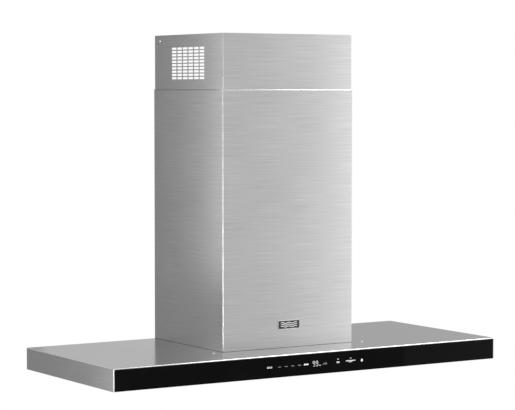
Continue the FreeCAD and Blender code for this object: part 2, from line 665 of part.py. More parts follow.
def scroll():
    """The volute: a rolled wrapper and two flat cheeks with the air inlets."""
    half, gauge = size("scroll_half"), size("scroll_gauge")
    inner, outer = scroll_path(0), scroll_path(gauge)
    top_in = [inner[0].Vertexes[0].Point, inner[-1].Vertexes[1].Point]
    top_out = [outer[0].Vertexes[0].Point, outer[-1].Vertexes[1].Point]
    band = Part.Wire(Part.__sortEdges__(
        inner + outer + [Part.makeLine(top_in[0], top_out[0]),
                         Part.makeLine(top_in[1], top_out[1])]))
    wrapper = Part.Face(band).extrude(Vector(2 * half, 0, 0))
    wrapper.translate(Vector(-half, 0, 0))
    node("scroll_wrapper", made("wrapper", wrapper))
    outline = Part.Wire(Part.__sortEdges__(outer + [Part.makeLine(*top_out)]))
    eye = Part.makeCylinder(size("inlet_radius"), 4 * gauge,
                            Vector(-gauge, -size("fan_y"), size("fan_z")), Vector(1, 0, 0))
    for side, x in (("left", -half - gauge), ("right", half)):
        cheek = Part.Face(outline).extrude(Vector(gauge, 0, 0)).cut(eye)
        cheek.translate(Vector(x, 0, 0))
        node("scroll_cheek_" + side, made("cheek_" + side, cheek))


def inlet_ring(side):
    """Bell-mouth ring that leads air into the wheel."""
    right = side == "right"
    start = "scroll_half + scroll_gauge" if right else "-scroll_half - scroll_gauge - 12"
    wide, narrow = "inlet_radius + 14", "inlet_radius"
    ends = (narrow, wide) if right else (wide, narrow)
    outer = cone("inlet_outer_" + side, "x", start, "-fan_y", "fan_z", ends[0] + " + 1.5",
                 ends[1] + " + 1.5", 12)
    inner = cone("inlet_inner_" + side, "x", start, "-fan_y", "fan_z", ends[0], ends[1], 12)
    node("inlet_ring_" + side, cut("inlet_" + side, outer, [inner]))


def blade_profile():
    """One forward-curved blade as a thin curved face across the wheel."""
    inner, outer, thick = size("blade_inner"), size("fan_radius") - 1.5, 0.9

    def at(radius, degrees):
        angle = math.radians(degrees)
        return Vector(0, radius * math.cos(angle), radius * math.sin(angle))

    middle = (inner + outer) / 2
    near = Part.Arc(at(inner, 0), at(middle, 2.2), at(outer, 8)).toShape()
    far = Part.Arc(at(inner, 0.7), at(middle, 2.2 + 60 * thick / middle),
                   at(outer, 8 + 60 * thick / outer)).toShape()
    ends = [Part.makeLine(near.Vertexes[0].Point, far.Vertexes[0].Point),
            Part.makeLine(near.Vertexes[1].Point, far.Vertexes[1].Point)]
    return Part.Face(Part.Wire(Part.__sortEdges__([near, far] + ends)))


def fan_wheel():
    """Double-width squirrel-cage wheel: centre disc, two end rings and curved blades."""
    half, radius, along = size("fan_half"), size("fan_radius"), Vector(1, 0, 0)
    blade = blade_profile().extrude(Vector(2 * half - 2, 0, 0))
    blade.translate(Vector(-half + 1, 0, 0))
    count, blades = int(size("blade_count")), []
    for i in range(count):
        turned = blade.copy()
        turned.rotate(Vector(), along, 360.0 * i / count)
        blades.append(turned)
    disc = Part.makeCylinder(radius - 2, 2, Vector(-1, 0, 0), along)
    disc = disc.cut(Part.makeCylinder(size("shaft_radius") + 9, 4, Vector(-2, 0, 0), along))
    rings = []
    for x in (-half, half - 4):
        ring = Part.makeCylinder(radius, 4, Vector(x, 0, 0), along)
        rings.append(ring.cut(Part.makeCylinder(radius - 6, 6, Vector(x - 1, 0, 0), along)))
    wheel = disc.multiFuse(rings + blades)
    wheel.translate(Vector(0, -size("fan_y"), size("fan_z")))
    node("fan_wheel", made("wheel", wheel))


def motor():
    """Motor inside the left half of the wheel, on a three-armed bracket."""
    axis_y, axis_z = "-fan_y", "fan_z"
    can = cylinder("motor_can", "x", "-motor_end", axis_y, axis_z, "motor_radius",
                   "motor_end - motor_start")
    boss = cylinder("motor_boss", "x", "-motor_end - 26", axis_y, axis_z, 20, 27)
    bore = cylinder("motor_bore", "x", "-motor_start - 30", axis_y, axis_z,
                    "shaft_radius + shaft_play", 40)
    node("motor_body", cut("motor_solid", fuse("motor_parts", [can, boss]), [bore]))
    node("motor_shaft", cylinder("shaft", "x", "-motor_start - 29", axis_y, axis_z,
                                 "shaft_radius", "motor_start + 29 + 16"))
    hub = cylinder("hub_block", "x", -9, axis_y, axis_z, "shaft_radius + 9", 20)
    hub_bore = cylinder("hub_bore", "x", -10, axis_y, axis_z, "shaft_radius", 30)
    node("fan_hub", cut("hub", hub, [hub_bore]))


def motor_bracket():
    y, z, along = -size("fan_y"), size("fan_z"), Vector(1, 0, 0)
    x = -size("scroll_half") - size("scroll_gauge") - 17.5
    ring = Part.makeCylinder(34, 2.5, Vector(x, 0, 0), along)
    arms, feet, rubbers = [], [], []
    reach = size("inlet_radius") + 26
    for i in range(3):
        arm = Part.makeBox(2.5, reach - 20, 14, Vector(x, 20, -7))
        arm.rotate(Vector(), along, 30 + 120 * i)
        arms.append(arm)
        angle = math.radians(30 + 120 * i)
        spot = Vector(x, reach * math.cos(angle), reach * math.sin(angle))
        feet.append(Part.makeCylinder(9, 2.5, spot, along))
        rubbers.append(Part.makeCylinder(7, 15, spot + Vector(2.5, 0, 0), along))
    bracket = ring.multiFuse(arms + feet)
    bracket = bracket.cut(Part.makeCylinder(20.1, 10, Vector(x - 2, 0, 0), along))
    mounts = Part.makeCompound(rubbers)
    for shape in (bracket, mounts):
        shape.translate(Vector(0, y, z))
    node("motor_bracket", made("spider", bracket))
    node("motor_mounts", made("rubber_mounts", mounts))


def capacitor():
    can = cylinder("capacitor_can", "x", 120, "-box_front + 26", "canopy_height + 40", 16, 55)
    cap = cylinder("capacitor_cap", "x", 174, "-box_front + 26", "canopy_height + 40", 13, 6)
    node("capacitor", fuse("capacitor_solid", [can, cap]))


# ---------------------------------------------------------------- outlet and damper
def outlet_collar():
    """Round spigot for the duct, with a ledge that the closed damper rests on."""
    y, low = "-collar_y", "box_top"
    plate = box("collar_plate", "-110", y + " - 101", low, 220, 202, 1.2)
    tube = cylinder("collar_tube", "z", 0, y, low, "collar_radius", "collar_top - box_top")
    bore = cylinder("collar_bore", "z", 0, y, low + " - 1", "collar_radius - collar_gauge",
                    "collar_top - box_top + 2")
    ledge = cylinder("collar_ledge", "z", 0, y, "damper_z - 2.2",
                     "collar_radius - collar_gauge + 0.5", 1.4)
    ledge_hole = cylinder("collar_ledge_hole", "z", 0, y, "damper_z - 3", "flap_radius - 3", 3)
    pin_hole = cylinder("collar_pin_hole", "x", -120, y, "damper_z", "damper_pin_radius + 0.05",
                        240)
    wall = cut("collar_wall", fuse("collar_solid", [plate, tube]), [bore])
    rim = cut("collar_rim", ledge, [ledge_hole])
    node("outlet_collar", cut("collar", fuse("collar_joined", [wall, rim]), [pin_hole]))
    node("damper_pin", cylinder("pin", "x", "-collar_radius + 0.1", y, "damper_z",
                                "damper_pin_radius", "2*collar_radius - 0.2"))


def damper_flap(side, sign, knuckles):
    """Half-round flap that hangs on the pin by two knuckles."""
    radius, gauge, pin = size("flap_radius"), size("flap_gauge"), size("damper_pin_radius")
    disc = Part.makeCylinder(radius, gauge, Vector(0, 0, -gauge / 2))
    keep = Part.makeBox(2 * radius, radius, 2 * gauge,
                        Vector(-radius, 3.6 if sign > 0 else -3.6 - radius, -gauge))
    flap = disc.common(keep)
    for x in knuckles:
        barrel = Part.makeCylinder(3.2, 20, Vector(x, 0, 0), Vector(1, 0, 0))
        web = Part.makeBox(20, 2.5, gauge, Vector(x, 2.4 if sign > 0 else -4.9, -gauge / 2))
        flap = flap.fuse(barrel).fuse(web)
    for x in knuckles:
        flap = flap.cut(Part.makeCylinder(pin + 0.06, 24, Vector(x - 2, 0, 0), Vector(1, 0, 0)))
    flap.translate(Vector(0, -size("collar_y"), size("damper_z")))
    node("damper_flap_" + side, made("flap_" + side, flap))


# ---------------------------------------------------------------- wall fixings
def wall_cleat():
    """Bar screwed to the wall, with an upturned lip that carries the hood."""
    width, left = "2*cleat_half", "-cleat_half"
    plate = box("cleat_plate", left, "-cleat_gauge", "cleat_low", width, "cleat_gauge",
                "cleat_high - cleat_low")
    step = box("cleat_step", left, "-6", "cleat_high - cleat_gauge", width, 6, "cleat_gauge")
    lip = box("cleat_lip", left, "-6", "cleat_high - cleat_gauge", width, "cleat_gauge", 17)
    holes = [cylinder("cleat_hole_%d" % i, "y", x, "-5",
                      "(cleat_low + cleat_high)/2 - 3 " + z, "cleat_hole_radius", 10)
             for i, (x, z) in enumerate((x, z) for x in ("-cleat_hole_x", "cleat_hole_x")
                                        for z in ("- cleat_hole_z", "+ cleat_hole_z"))]
    node("wall_cleat", cut("cleat", fuse("cleat_solid", [plate, step, lip]), holes))


def box_cleat():
    """Hook on the blower box that drops over the wall bar."""
    width, left = "2*cleat_half - 10", "-cleat_half + 5"
    lip_top = "cleat_high - cleat_gauge + 17"
    shelf = box("hook_shelf", left, "-box_back", lip_top, width, "box_back - 1.8", 2)
    lip = box("hook_lip", left, "-3.7", lip_top + " - 12", width, 1.9, 14)
    node("box_cleat", fuse("hook", [shelf, lip]))


# ---------------------------------------------------------------- electrics
def control_box():
    """Power electronics in a folded tray with a screwed lid, beside the left filter."""
    left, front, low = -592, -390, "panel_top"
    outer = box("tray_block", left, front, low, 106, 250, 38)
    hollow = box("tray_hollow", left + 1, front + 1, low + " + 1", 104, 248, 40)
    exits = [cylinder("tray_exit_%d" % i, "x", -490, y, 40, r, 10)
             for i, (y, r) in enumerate([(-372, 2.2), (-200, 3.2)])]
    exits.append(cylinder("tray_exit_front", "y", -540, front - 3, 30, 2.7, 8))
    node("control_box", cut("tray", outer, [hollow] + exits))
    lid = box("lid_plate", left - 1, front - 1, low + " + 38", 108, 252, 1)
    node("control_box_lid", fuse("lid", [lid, box("lid_rib", left + 20, front + 20,
                                                  low + " + 38.5", 66, 210, 1.5)]))
    board = box("power_plate", left + 4, front + 5, low + " + 6", 98, 238, 1.6)
    parts = [box("power_choke", left + 14, front + 150, low + " + 7.5", 34, 34, 22),
             box("power_relay_1", left + 62, front + 30, low + " + 7.5", 22, 16, 15),
             box("power_relay_2", left + 62, front + 60, low + " + 7.5", 22, 16, 15),
             box("power_sink", left + 60, front + 110, low + " + 7.5", 26, 60, 20),
             cylinder("power_can_1", "z", left + 26, front + 40, low + " + 7.5", 8, 20),
             cylinder("power_can_2", "z", left + 26, front + 70, low + " + 7.5", 8, 20)]
    feet = [cylinder("power_post_%d" % i, "z", x, y, low + " + 1", 3, 5.2)
            for i, (x, y) in enumerate((x, y) for x in (left + 10, left + 96)
                                       for y in (front + 12, front + 238))]
    node("power_board", fuse("power", [board] + parts + feet))


def junction_box():
    """Field wiring box under the canopy top, below the cable knockout."""
    top = "canopy_height - canopy_gauge"
    x, y = "knockout_x - 45", "-knockout_y - 44"
    outer = box("junction_block", x, y, 26, 90, 66, top + " - 26")
    hollow = box("junction_hollow", x + " + 1", y + " + 1", 25, 88, 64, 60)
    node("junction_box", cut("junction", outer, [hollow]))
    lid = box("junction_lid_plate", x + " - 1", y + " - 1", 24.8, 92, 68, 1.2)
    node("junction_lid", lid)


def bent_tube(points, radius):
    """A cable: straight runs joined by tangent arcs, with a round section."""
    points = [Vector(*p) for p in points]
    edges, start = [], points[0]
    for before, corner, after in zip(points, points[1:], points[2:]):
        into, out = (corner - before).normalize(), (after - corner).normalize()
        turn = into.getAngle(out)
        shorter = min((corner - before).Length, (after - corner).Length)
        trim = 0.45 * shorter
        bend = trim / math.tan(turn / 2)
        print("cable bend radius %.1f mm" % bend)
        first, last = corner - into * trim, corner + out * trim
        centre = first + (out - into * into.dot(out)).normalize() * bend
        middle = centre + (corner - centre).normalize() * bend
        edges.append(Part.makeLine(start, first))
        edges.append(Part.Arc(first, middle, last).toShape())
        start = last
    edges.append(Part.makeLine(start, points[-1]))
    path = Part.Wire(edges)
    ring = Part.Wire(Part.makeCircle(radius, points[0], (points[1] - points[0]).normalize()))
    tube = path.makePipeShell([ring], True, True)
    wanted = math.pi * radius ** 2 * path.Length
    if abs(tube.Volume - wanted) > 0.01 * wanted:
        raise RuntimeError("a cable's volume is wrong")
    return tube


def cables():
    """The leads inside the canopy, each along its own clipped route."""
    board_back = -size("canopy_depth") + size("glass_thick") + size("board_thick")
    touch = [(-90, board_back, 32), (-90, -476, 32), (-130, -474, 32), (-200, -480, 32),
             (-300, -478, 31), (-400, -480, 31), (-500, -478, 30), (-540, -450, 30),
             (-540, -386, 30)]
    lamps = [(-490, -372, 40), (-460, -373, 40), (-430, -400, 40), (-300, -404, 41),
             (-60, -403, 40), (180, -404, 40), (390, -404, 41), (450, -438, 44),
             (450, -438, 26.7)]
    motor_lead = [(-490, -200, 40), (-420, -202, 38), (-300, -200, 37), (-215, -206, 38),
                  (-166, -210, 42), (-158, -216, 92), (-150, -228, 140), (-146, -231, 181),
                  (-100, -231, 181)]
    for name, points, radius in (("touch_cable", touch, 2.5), ("lamp_cable", lamps, 2.0),
                                 ("motor_cable", motor_lead, 3.0)):
        node(name, made(name + "_tube", bent_tube(points, radius)))


# ---------------------------------------------------------------- build everything
canopy_shell()
front_glass()
glass_channel()
touch_board()
stiffener("left", "-")
stiffener("right", "")
top_screws()
underside_panel()
bezel_set = doc.addObject("Part::Compound", "bezel_set")
bezel_set.Links = [lamp(lamp_number, lamp_x) for lamp_number, lamp_x in LAMPS.items()]
node("lamp_bezels", bezel_set)
lamp_insides()
for filter_side, filter_place in FILTERS.items():
    filter_frame(filter_side, filter_place)
    filter_baffles(filter_side, filter_place)
    latch_bolt(filter_side, filter_place)
filter_seats()
lower_cover()
upper_cover()
badge_plate()
glide_strips()
upper_wall_bracket()
cover_screws()
cover_locators()
blower_box()
box_screws()
scroll()
inlet_ring("left")
inlet_ring("right")
fan_wheel()
motor()
motor_bracket()
capacitor()
outlet_collar()
damper_flap("front", -1, (-80, 10))
damper_flap("rear", 1, (-30, 60))
wall_cleat()
box_cleat()
control_box()
junction_box()
cables()
doc.recompute()

# ---------------------------------------------------------------- check and write
for obj in doc.Objects:
    if {"Invalid", "Error"} & set(obj.State):
        raise RuntimeError(obj.Name + " failed: " + ", ".join(obj.State))
os.makedirs("parts", exist_ok=True)
for old in os.listdir("parts"):
    if old.endswith(".step"):
        os.remove(os.path.join("parts", old))
for piece in nodes:
    shape = piece.Shape
    if shape.isNull() or not shape.isValid() or not shape.Solids:
        raise RuntimeError(piece.Label + " has no valid solid")
    shape.exportStep(os.path.join("parts", piece.Label + ".step"))
    print("%-22s %2d solids %12.0f mm3" % (piece.Label, len(shape.Solids), shape.Volume))
print(len(nodes), "nodes")
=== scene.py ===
# %% [markdown]
# # A wall chimney range hood
# The hood has three big visible masses: a wide flat canopy in brushed stainless steel, a strip of
# black glass across its front that carries touch controls, and a square chimney in two telescoping
# covers. The solid model already holds their exact shapes and places, so it is loaded first as a
# fixed frame. What is made below is placed by asking the frame where its parts are. The few
# measures that are not asked for there have names of their own.

# %% Load the solid model
import math

import bmesh
import bpy
from mathutils import Matrix, Vector


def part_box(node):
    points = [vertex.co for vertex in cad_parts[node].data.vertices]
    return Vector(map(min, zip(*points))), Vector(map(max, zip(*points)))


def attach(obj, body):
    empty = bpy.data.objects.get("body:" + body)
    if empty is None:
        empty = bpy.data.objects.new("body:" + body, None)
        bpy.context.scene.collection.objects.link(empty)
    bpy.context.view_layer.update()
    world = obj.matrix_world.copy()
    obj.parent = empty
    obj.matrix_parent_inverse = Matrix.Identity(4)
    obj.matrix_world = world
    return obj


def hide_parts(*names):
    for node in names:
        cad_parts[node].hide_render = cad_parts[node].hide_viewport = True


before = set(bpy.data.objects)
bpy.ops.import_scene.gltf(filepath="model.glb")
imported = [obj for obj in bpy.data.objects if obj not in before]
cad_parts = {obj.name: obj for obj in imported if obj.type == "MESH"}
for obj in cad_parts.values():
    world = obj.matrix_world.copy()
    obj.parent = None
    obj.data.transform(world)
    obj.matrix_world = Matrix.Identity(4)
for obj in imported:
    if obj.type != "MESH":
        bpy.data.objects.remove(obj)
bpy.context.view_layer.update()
scene = bpy.context.scene

# %% [markdown]
# ## Camera
# A long lens far away gives the calm, nearly parallel lines of a catalogue picture. The camera
# stands to the left of the hood, a little above the canopy's top, and looks slightly down.

# %% Camera
LENS_MM, SENSOR_MM = 141.66, 36
CAMERA_PLACE = (-2.990, -4.9685, 0.757)
LOOK_DOWN, LOOK_RIGHT = 3.241, 32.149

camera_data = bpy.data.cameras.new("catalogue_lens")
camera_data.lens = LENS_MM
camera_data.sensor_width = SENSOR_MM
camera_data.sensor_fit = "HORIZONTAL"
camera = bpy.data.objects.new("catalogue_camera", camera_data)
camera.location = CAMERA_PLACE
camera.rotation_euler = (math.radians(90 - LOOK_DOWN), 0, math.radians(-LOOK_RIGHT))
scene.collection.objects.link(camera)
scene.camera = camera
print("camera is", round(camera.location.length, 2), "m from the frame's origin")

# %% [markdown]
# ## Light
# Brushed steel has almost no colour of its own: what gives it form is what it mirrors. A front
# corner only reads well when one side mirrors something bright and the other something dim. So the
# surroundings run smoothly from bright at the front right to dim at the back left, and soft boxes
# near the hood shade each wall from edge to edge. Two more stand far off: the fold box draws a
# white line along the canopy's level folds, and the corner box draws one down the chimney's corner.
# The corner box has a cost: from behind on the left, the chimney's left wall mirrors it and turns
# white. The backdrop itself stays clean white.

# %% Colours shown as they are
scene.view_settings.view_transform = "Standard"


def aim(thing, target):
    """Turns a light so that it shines on a point."""
    direction = Vector(target) - thing.location
    thing.rotation_euler = direction.to_track_quat("-Z", "Y").to_euler()


def soft_box(name, place, target, width, height, power):
    """A rectangular studio light, aimed at a point on the hood."""
    lamp = bpy.data.lights.new(name, "AREA")
    lamp.shape = "RECTANGLE"
    lamp.size, lamp.size_y = width, height
    lamp.energy = power
    thing = bpy.data.objects.new(name, lamp)
    thing.location = place
    thing.visible_camera = False
    scene.collection.objects.link(thing)
    aim(thing, target)
    print(name, "throws", power, "W")


# %% Surroundings that the steel mirrors
MIX_FACTOR, MIX_A, MIX_B = 0, 2, 3
MIX_COLOUR_A, MIX_COLOUR_B, MIX_COLOUR_OUT = 6, 7, 2
CEILING_STARTS, CEILING_FULL = 0.35, 0.8


def surroundings(toward, dim, bright, ceiling, backdrop):
    """A world that is white to the eye, and a soft gradient with a ceiling to reflections."""
    world = bpy.data.worlds.new("studio")
    scene.world = world
    world.use_nodes = True
    tree = world.node_tree
    tree.nodes.clear()
    direction = tree.nodes.new("ShaderNodeTexCoord")
    along = tree.nodes.new("ShaderNodeVectorMath")
    along.operation = "DOT_PRODUCT"
    along.inputs[1].default_value = Vector(toward).normalized()
    tree.links.new(direction.outputs["Generated"], along.inputs[0])
    ramp = tree.nodes.new("ShaderNodeMapRange")
    ramp.interpolation_type = "SMOOTHSTEP"
    ramp.inputs["From Min"].default_value = -1
    ramp.inputs["From Max"].default_value = 1
    ramp.inputs["To Min"].default_value = dim
    ramp.inputs["To Max"].default_value = bright
    tree.links.new(along.outputs["Value"], ramp.inputs["Value"])
    height = tree.nodes.new("ShaderNodeSeparateXYZ")
    tree.links.new(direction.outputs["Generated"], height.inputs[0])
    overhead = tree.nodes.new("ShaderNodeMapRange")
    overhead.interpolation_type = "SMOOTHSTEP"
    overhead.inputs["From Min"].default_value = CEILING_STARTS
    overhead.inputs["From Max"].default_value = CEILING_FULL
    overhead.inputs["To Max"].default_value = ceiling
    tree.links.new(height.outputs["Z"], overhead.inputs["Value"])
    total = tree.nodes.new("ShaderNodeMath")
    total.operation = "ADD"
    tree.links.new(ramp.outputs["Result"], total.inputs[0])
    tree.links.new(overhead.outputs["Result"], total.inputs[1])
    eye = tree.nodes.new("ShaderNodeLightPath")
    pick = tree.nodes.new("ShaderNodeMix")
    pick.inputs[MIX_B].default_value = backdrop
    tree.links.new(eye.outputs["Is Camera Ray"], pick.inputs[MIX_FACTOR])
    tree.links.new(total.outputs[0], pick.inputs[MIX_A])
    shade = tree.nodes.new("ShaderNodeBackground")
    shade.inputs["Color"].default_value = (1, 1, 1, 1)
    tree.links.new(pick.outputs[0], shade.inputs["Strength"])
    out = tree.nodes.new("ShaderNodeOutputWorld")
    tree.links.new(shade.outputs["Background"], out.inputs["Surface"])
    print("surroundings run from", dim, "to", bright)


surroundings(toward=(0.82, -0.57, 0.0), dim=0.28, bright=0.60, ceiling=0.45, backdrop=1.0)

# %% Soft boxes
# Name, place, point it shines on, width, height and power in watts.
SOFT_BOXES = [
    ("right_front_box", (1.33, -1.27, 0.55), (0.2, -0.37, 0.5), 0.8, 1.6, 4.6),
    ("left_rear_box", (-0.90, 0.25, 0.72), (-0.37, -0.59, 0.72), 0.5, 1.1, 1.6),
    ("low_left_box", (-1.30, 0.13, -0.08), (-0.77, -0.71, -0.05), 0.4, 0.4, 0.6),
    ("back_box", (0.33, 1.08, 0.24), (-0.45, -0.25, 0.06), 0.65, 0.6, 0.18),
    ("fold_box", (2.3, -0.9, 3.4), (0.0, -0.4, 0.06), 2.4, 1.3, 80),
    ("corner_box", (-3.7, -6.1, -0.40), (-0.2, -0.37, 0.4), 3.4, 0.8, 170),
]
for settings in SOFT_BOXES:
    soft_box(*settings)

# %% [markdown]
# ## Floor
# The hood hangs above a cooker, so a pale round floor lies 1.65 metres below it. It is kept small,
# so that the hood can also be looked at from below at all but the steepest angles.

# %% Pale floor
FLOOR_RADIUS, FLOOR_HEIGHT = 1.4, -1.65
FLOOR_CENTRE_Y = -0.25


def pale_floor(radius, height):
    """A round matt floor under the hood, which is stage and no part of it."""
    floor_mesh = bpy.data.meshes.new("floor")
    shape = bmesh.new()
    bmesh.ops.create_circle(shape, cap_ends=True, segments=96, radius=radius)
    bmesh.ops.translate(shape, verts=shape.verts, vec=(0, FLOOR_CENTRE_Y, height))
    shape.to_mesh(floor_mesh)
    shape.free()
    floor = bpy.data.objects.new("floor", floor_mesh)
    scene.collection.objects.link(floor)
    paint = bpy.data.materials.new("pale_floor")
    paint.use_nodes = True
    shader = paint.node_tree.nodes["Principled BSDF"]
    shader.inputs["Base Color"].default_value = (0.82, 0.82, 0.82, 1)
    shader.inputs["Roughness"].default_value = 0.8
    floor_mesh.materials.append(paint)


pale_floor(FLOOR_RADIUS, FLOOR_HEIGHT)
print("floor laid")

# %% [markdown]
# ## Shader effects that several finishes share
# Rolled stainless is brushed with abrasive belts, which leave long fine scratches in one
# direction. The finest on the stainless are noise that changes about seventy-five times faster
# across the belt's travel than along it. On a wall of the chimney the belt ran level, and on the
# canopy's top it ran from side to side, so the effect picks its cross direction from the way the
# surface faces.

# %% Small helpers for node trees
def socket(tree, name, kind, way, value=None):
    """One named input or output of a node group."""
    made = tree.interface.new_socket(name=name, in_out=way, socket_type="NodeSocket" + kind)
    if value is not None:
        made.default_value = value


def node(tree, kind, **settings):
    """A node with its settings, such as its operation or its data type."""
    made = tree.nodes.new("ShaderNode" + kind)
    for name, value in settings.items():
        setattr(made, name, value)
    return made


def wire(tree, source, target):
    """Joins an output to an input."""
    tree.links.new(source, target)


def math_node(tree, operation, first, second=None):
    """A Math node whose inputs are numbers or other nodes' outputs."""
    made = node(tree, "Math", operation=operation)
    for place, value in enumerate((first, second)):
        if value is None:
            continue
        if isinstance(value, (int, float)):
            made.inputs[place].default_value = value
        else:
            wire(tree, value, made.inputs[place])
    return made.outputs[0]


def group_shell(name, inputs, outputs):
    """An empty node group with its named sockets."""
    tree = bpy.data.node_groups.new(name, "ShaderNodeTree")
    for label, kind, value in inputs:
        socket(tree, label, kind, "INPUT", value)
    for label, kind in outputs:
        socket(tree, label, kind, "OUTPUT")
    return tree, tree.nodes.new("NodeGroupInput"), tree.nodes.new("NodeGroupOutput")


# %% Belt-brushed grain
# Each layer of scratches: how fine it is beside the finest, and its share of the whole.
BELT_LAYERS = ((1.0, 0.70), (0.45, 0.24), (0.08, 0.06))
ALONG_BELT = 8.0
FACES_UP = 0.7


def belt_grain():
    """Fine and broad scratches along the belt, as a value around one and as a height."""
    tree, enter, leave = group_shell(
        "belt_grain",
        [("Place", "Vector", None), ("Facing", "Vector", None), ("Depth", "Float", 0.05),
         ("Fineness", "Float", 700.0)],
        [("Tint", "Float"), ("Height", "Float"), ("Flat Top", "Float")])
    place = node(tree, "SeparateXYZ")
    facing = node(tree, "SeparateXYZ")
    wire(tree, enter.outputs["Place"], place.inputs[0])
    wire(tree, enter.outputs["Facing"], facing.inputs[0])
    level = math_node(tree, "ABSOLUTE", facing.outputs["Z"])
    is_level = math_node(tree, "GREATER_THAN", level, FACES_UP)
    long_way = math_node(tree, "ADD", place.outputs["X"], place.outputs["Y"])
    long_top = math_node(tree, "MULTIPLY", place.outputs["X"], is_level)
    not_level = math_node(tree, "SUBTRACT", 1.0, is_level)
    long_wall = math_node(tree, "MULTIPLY", long_way, not_level)
    along = math_node(tree, "ADD", long_top, long_wall)
    cross_top = math_node(tree, "MULTIPLY", place.outputs["Y"], is_level)
    cross_wall = math_node(tree, "MULTIPLY", place.outputs["Z"], not_level)
    across = math_node(tree, "ADD", cross_top, cross_wall)
    layers = []
    for stretch, share in BELT_LAYERS:
        spread = math_node(tree, "MULTIPLY", enter.outputs["Fineness"], stretch)
        fine = math_node(tree, "MULTIPLY", across, spread)
        lengthwise = math_node(tree, "MULTIPLY", along, ALONG_BELT)
        point = node(tree, "CombineXYZ")
        wire(tree, lengthwise, point.inputs["X"])
        wire(tree, fine, point.inputs["Y"])
        noise = node(tree, "TexNoise", noise_dimensions="2D")
        noise.inputs["Scale"].default_value = 1.0
        noise.inputs["Detail"].default_value = 1.5
        wire(tree, point.outputs[0], noise.inputs["Vector"])
        layers.append(math_node(tree, "MULTIPLY", noise.outputs[0], share))
    grain = math_node(tree, "ADD", math_node(tree, "ADD", layers[0], layers[1]), layers[2])
    swing = math_node(tree, "MULTIPLY", math_node(tree, "SUBTRACT", grain, 0.5),
                      enter.outputs["Depth"])
    wire(tree, math_node(tree, "ADD", swing, 1.0), leave.inputs["Tint"])
    wire(tree, grain, leave.inputs["Height"])
    upward = math_node(tree, "GREATER_THAN", facing.outputs["Z"], FACES_UP)
    wire(tree, upward, leave.inputs["Flat Top"])
    return tree


BELT_GRAIN = belt_grain()
print("group made:", BELT_GRAIN.name)

# %% [markdown]
# Handling leaves faint greasy clouds and dust on any kitchen surface. They hardly change the
# colour, but they change how sharply it mirrors, which keeps a metal from looking like a perfect
# mirror. One cloudy mask serves every finish.

# %% Handling clouds
SPECKS_PER_CLOUD = 60.0


def handling():
    """A slow cloudy mask from 0 to 1, with fine specks in it."""
    tree, enter, leave = group_shell(
        "handling", [("Place", "Vector", None), ("Size", "Float", 6.0)],
        [("Cloud", "Float"), ("Speck", "Float")])
    cloud = node(tree, "TexNoise")
    cloud.inputs["Detail"].default_value = 3
    cloud.inputs["Roughness"].default_value = 0.55
    wire(tree, enter.outputs["Place"], cloud.inputs["Vector"])
    wire(tree, enter.outputs["Size"], cloud.inputs["Scale"])
    soft = node(tree, "MapRange", interpolation_type="SMOOTHSTEP")
    soft.inputs["From Min"].default_value = 0.35
    soft.inputs["From Max"].default_value = 0.7
    wire(tree, cloud.outputs[0], soft.inputs["Value"])
    wire(tree, soft.outputs[0], leave.inputs["Cloud"])
    speck = node(tree, "TexNoise")
    speck.inputs["Detail"].default_value = 2
    wire(tree, enter.outputs["Place"], speck.inputs["Vector"])
    wire(tree, math_node(tree, "MULTIPLY", enter.outputs["Size"], SPECKS_PER_CLOUD),
         speck.inputs["Scale"])
    wire(tree, speck.outputs[0], leave.inputs["Speck"])
    return tree


HANDLING = handling()
print("group made:", HANDLING.name)

# %% [markdown]
# ## Finishes
# Each finish is a Principled shader. Numbers that are the same everywhere sit on the shader's own
# sockets. Only what changes over the surface is wired in: a tint, a roughness and a bump.

# %% A blank finish and its shared wiring
def finish(name, **constants):
    """A material with its shader, its object coordinates and its constants set."""
    material = bpy.data.materials.new(name)
    material.use_nodes = True
    tree = material.node_tree
    shader = tree.nodes["Principled BSDF"]
    for label, value in constants.items():
        shader.inputs[label.replace("_", " ")].default_value = value
    return material, tree, shader, node(tree, "TexCoord")


def use_group(tree, group, **values):
    """A shared effect, with its inputs set to numbers or to other nodes' outputs."""
    made = tree.nodes.new("ShaderNodeGroup")
    made.node_tree = group
    for label, value in values.items():
        target = made.inputs[label.replace("_", " ")]
        if isinstance(value, (int, float)):
            target.default_value = value
        else:
            wire(tree, value, target)
    return made


def tinted(tree, shader, dark, light, mask):
    """Colours the shader between two tones by a mask."""
    mix = node(tree, "Mix", data_type="RGBA")
    mix.inputs[MIX_COLOUR_A].default_value = (*dark, 1)
    mix.inputs[MIX_COLOUR_B].default_value = (*light, 1)
    wire(tree, mask, mix.inputs[MIX_FACTOR])
    wire(tree, mix.outputs[MIX_COLOUR_OUT], shader.inputs["Base Color"])


def between(tree, mask, low, high):
    """A number that runs from low to high as the mask runs from 0 to 1."""
    span = node(tree, "MapRange")
    span.inputs["To Min"].default_value = low
    span.inputs["To Max"].default_value = high
    wire(tree, mask, span.inputs["Value"])
    return span.outputs[0]


def bumped(tree, shader, height, depth):
    """Gives the shader a fine relief, depth metres deep."""
    bump = node(tree, "Bump")
    bump.inputs["Strength"].default_value = 1.0
    bump.inputs["Distance"].default_value = depth
    wire(tree, height, bump.inputs["Height"])
    wire(tree, bump.outputs[0], shader.inputs["Normal"])


# %% Brushed stainless, level tops and walls
CLOUD_ROUGHNESS = 0.03
LINE_ROUGHNESS = 0.03
SCRATCH_DEPTH = 0.000003


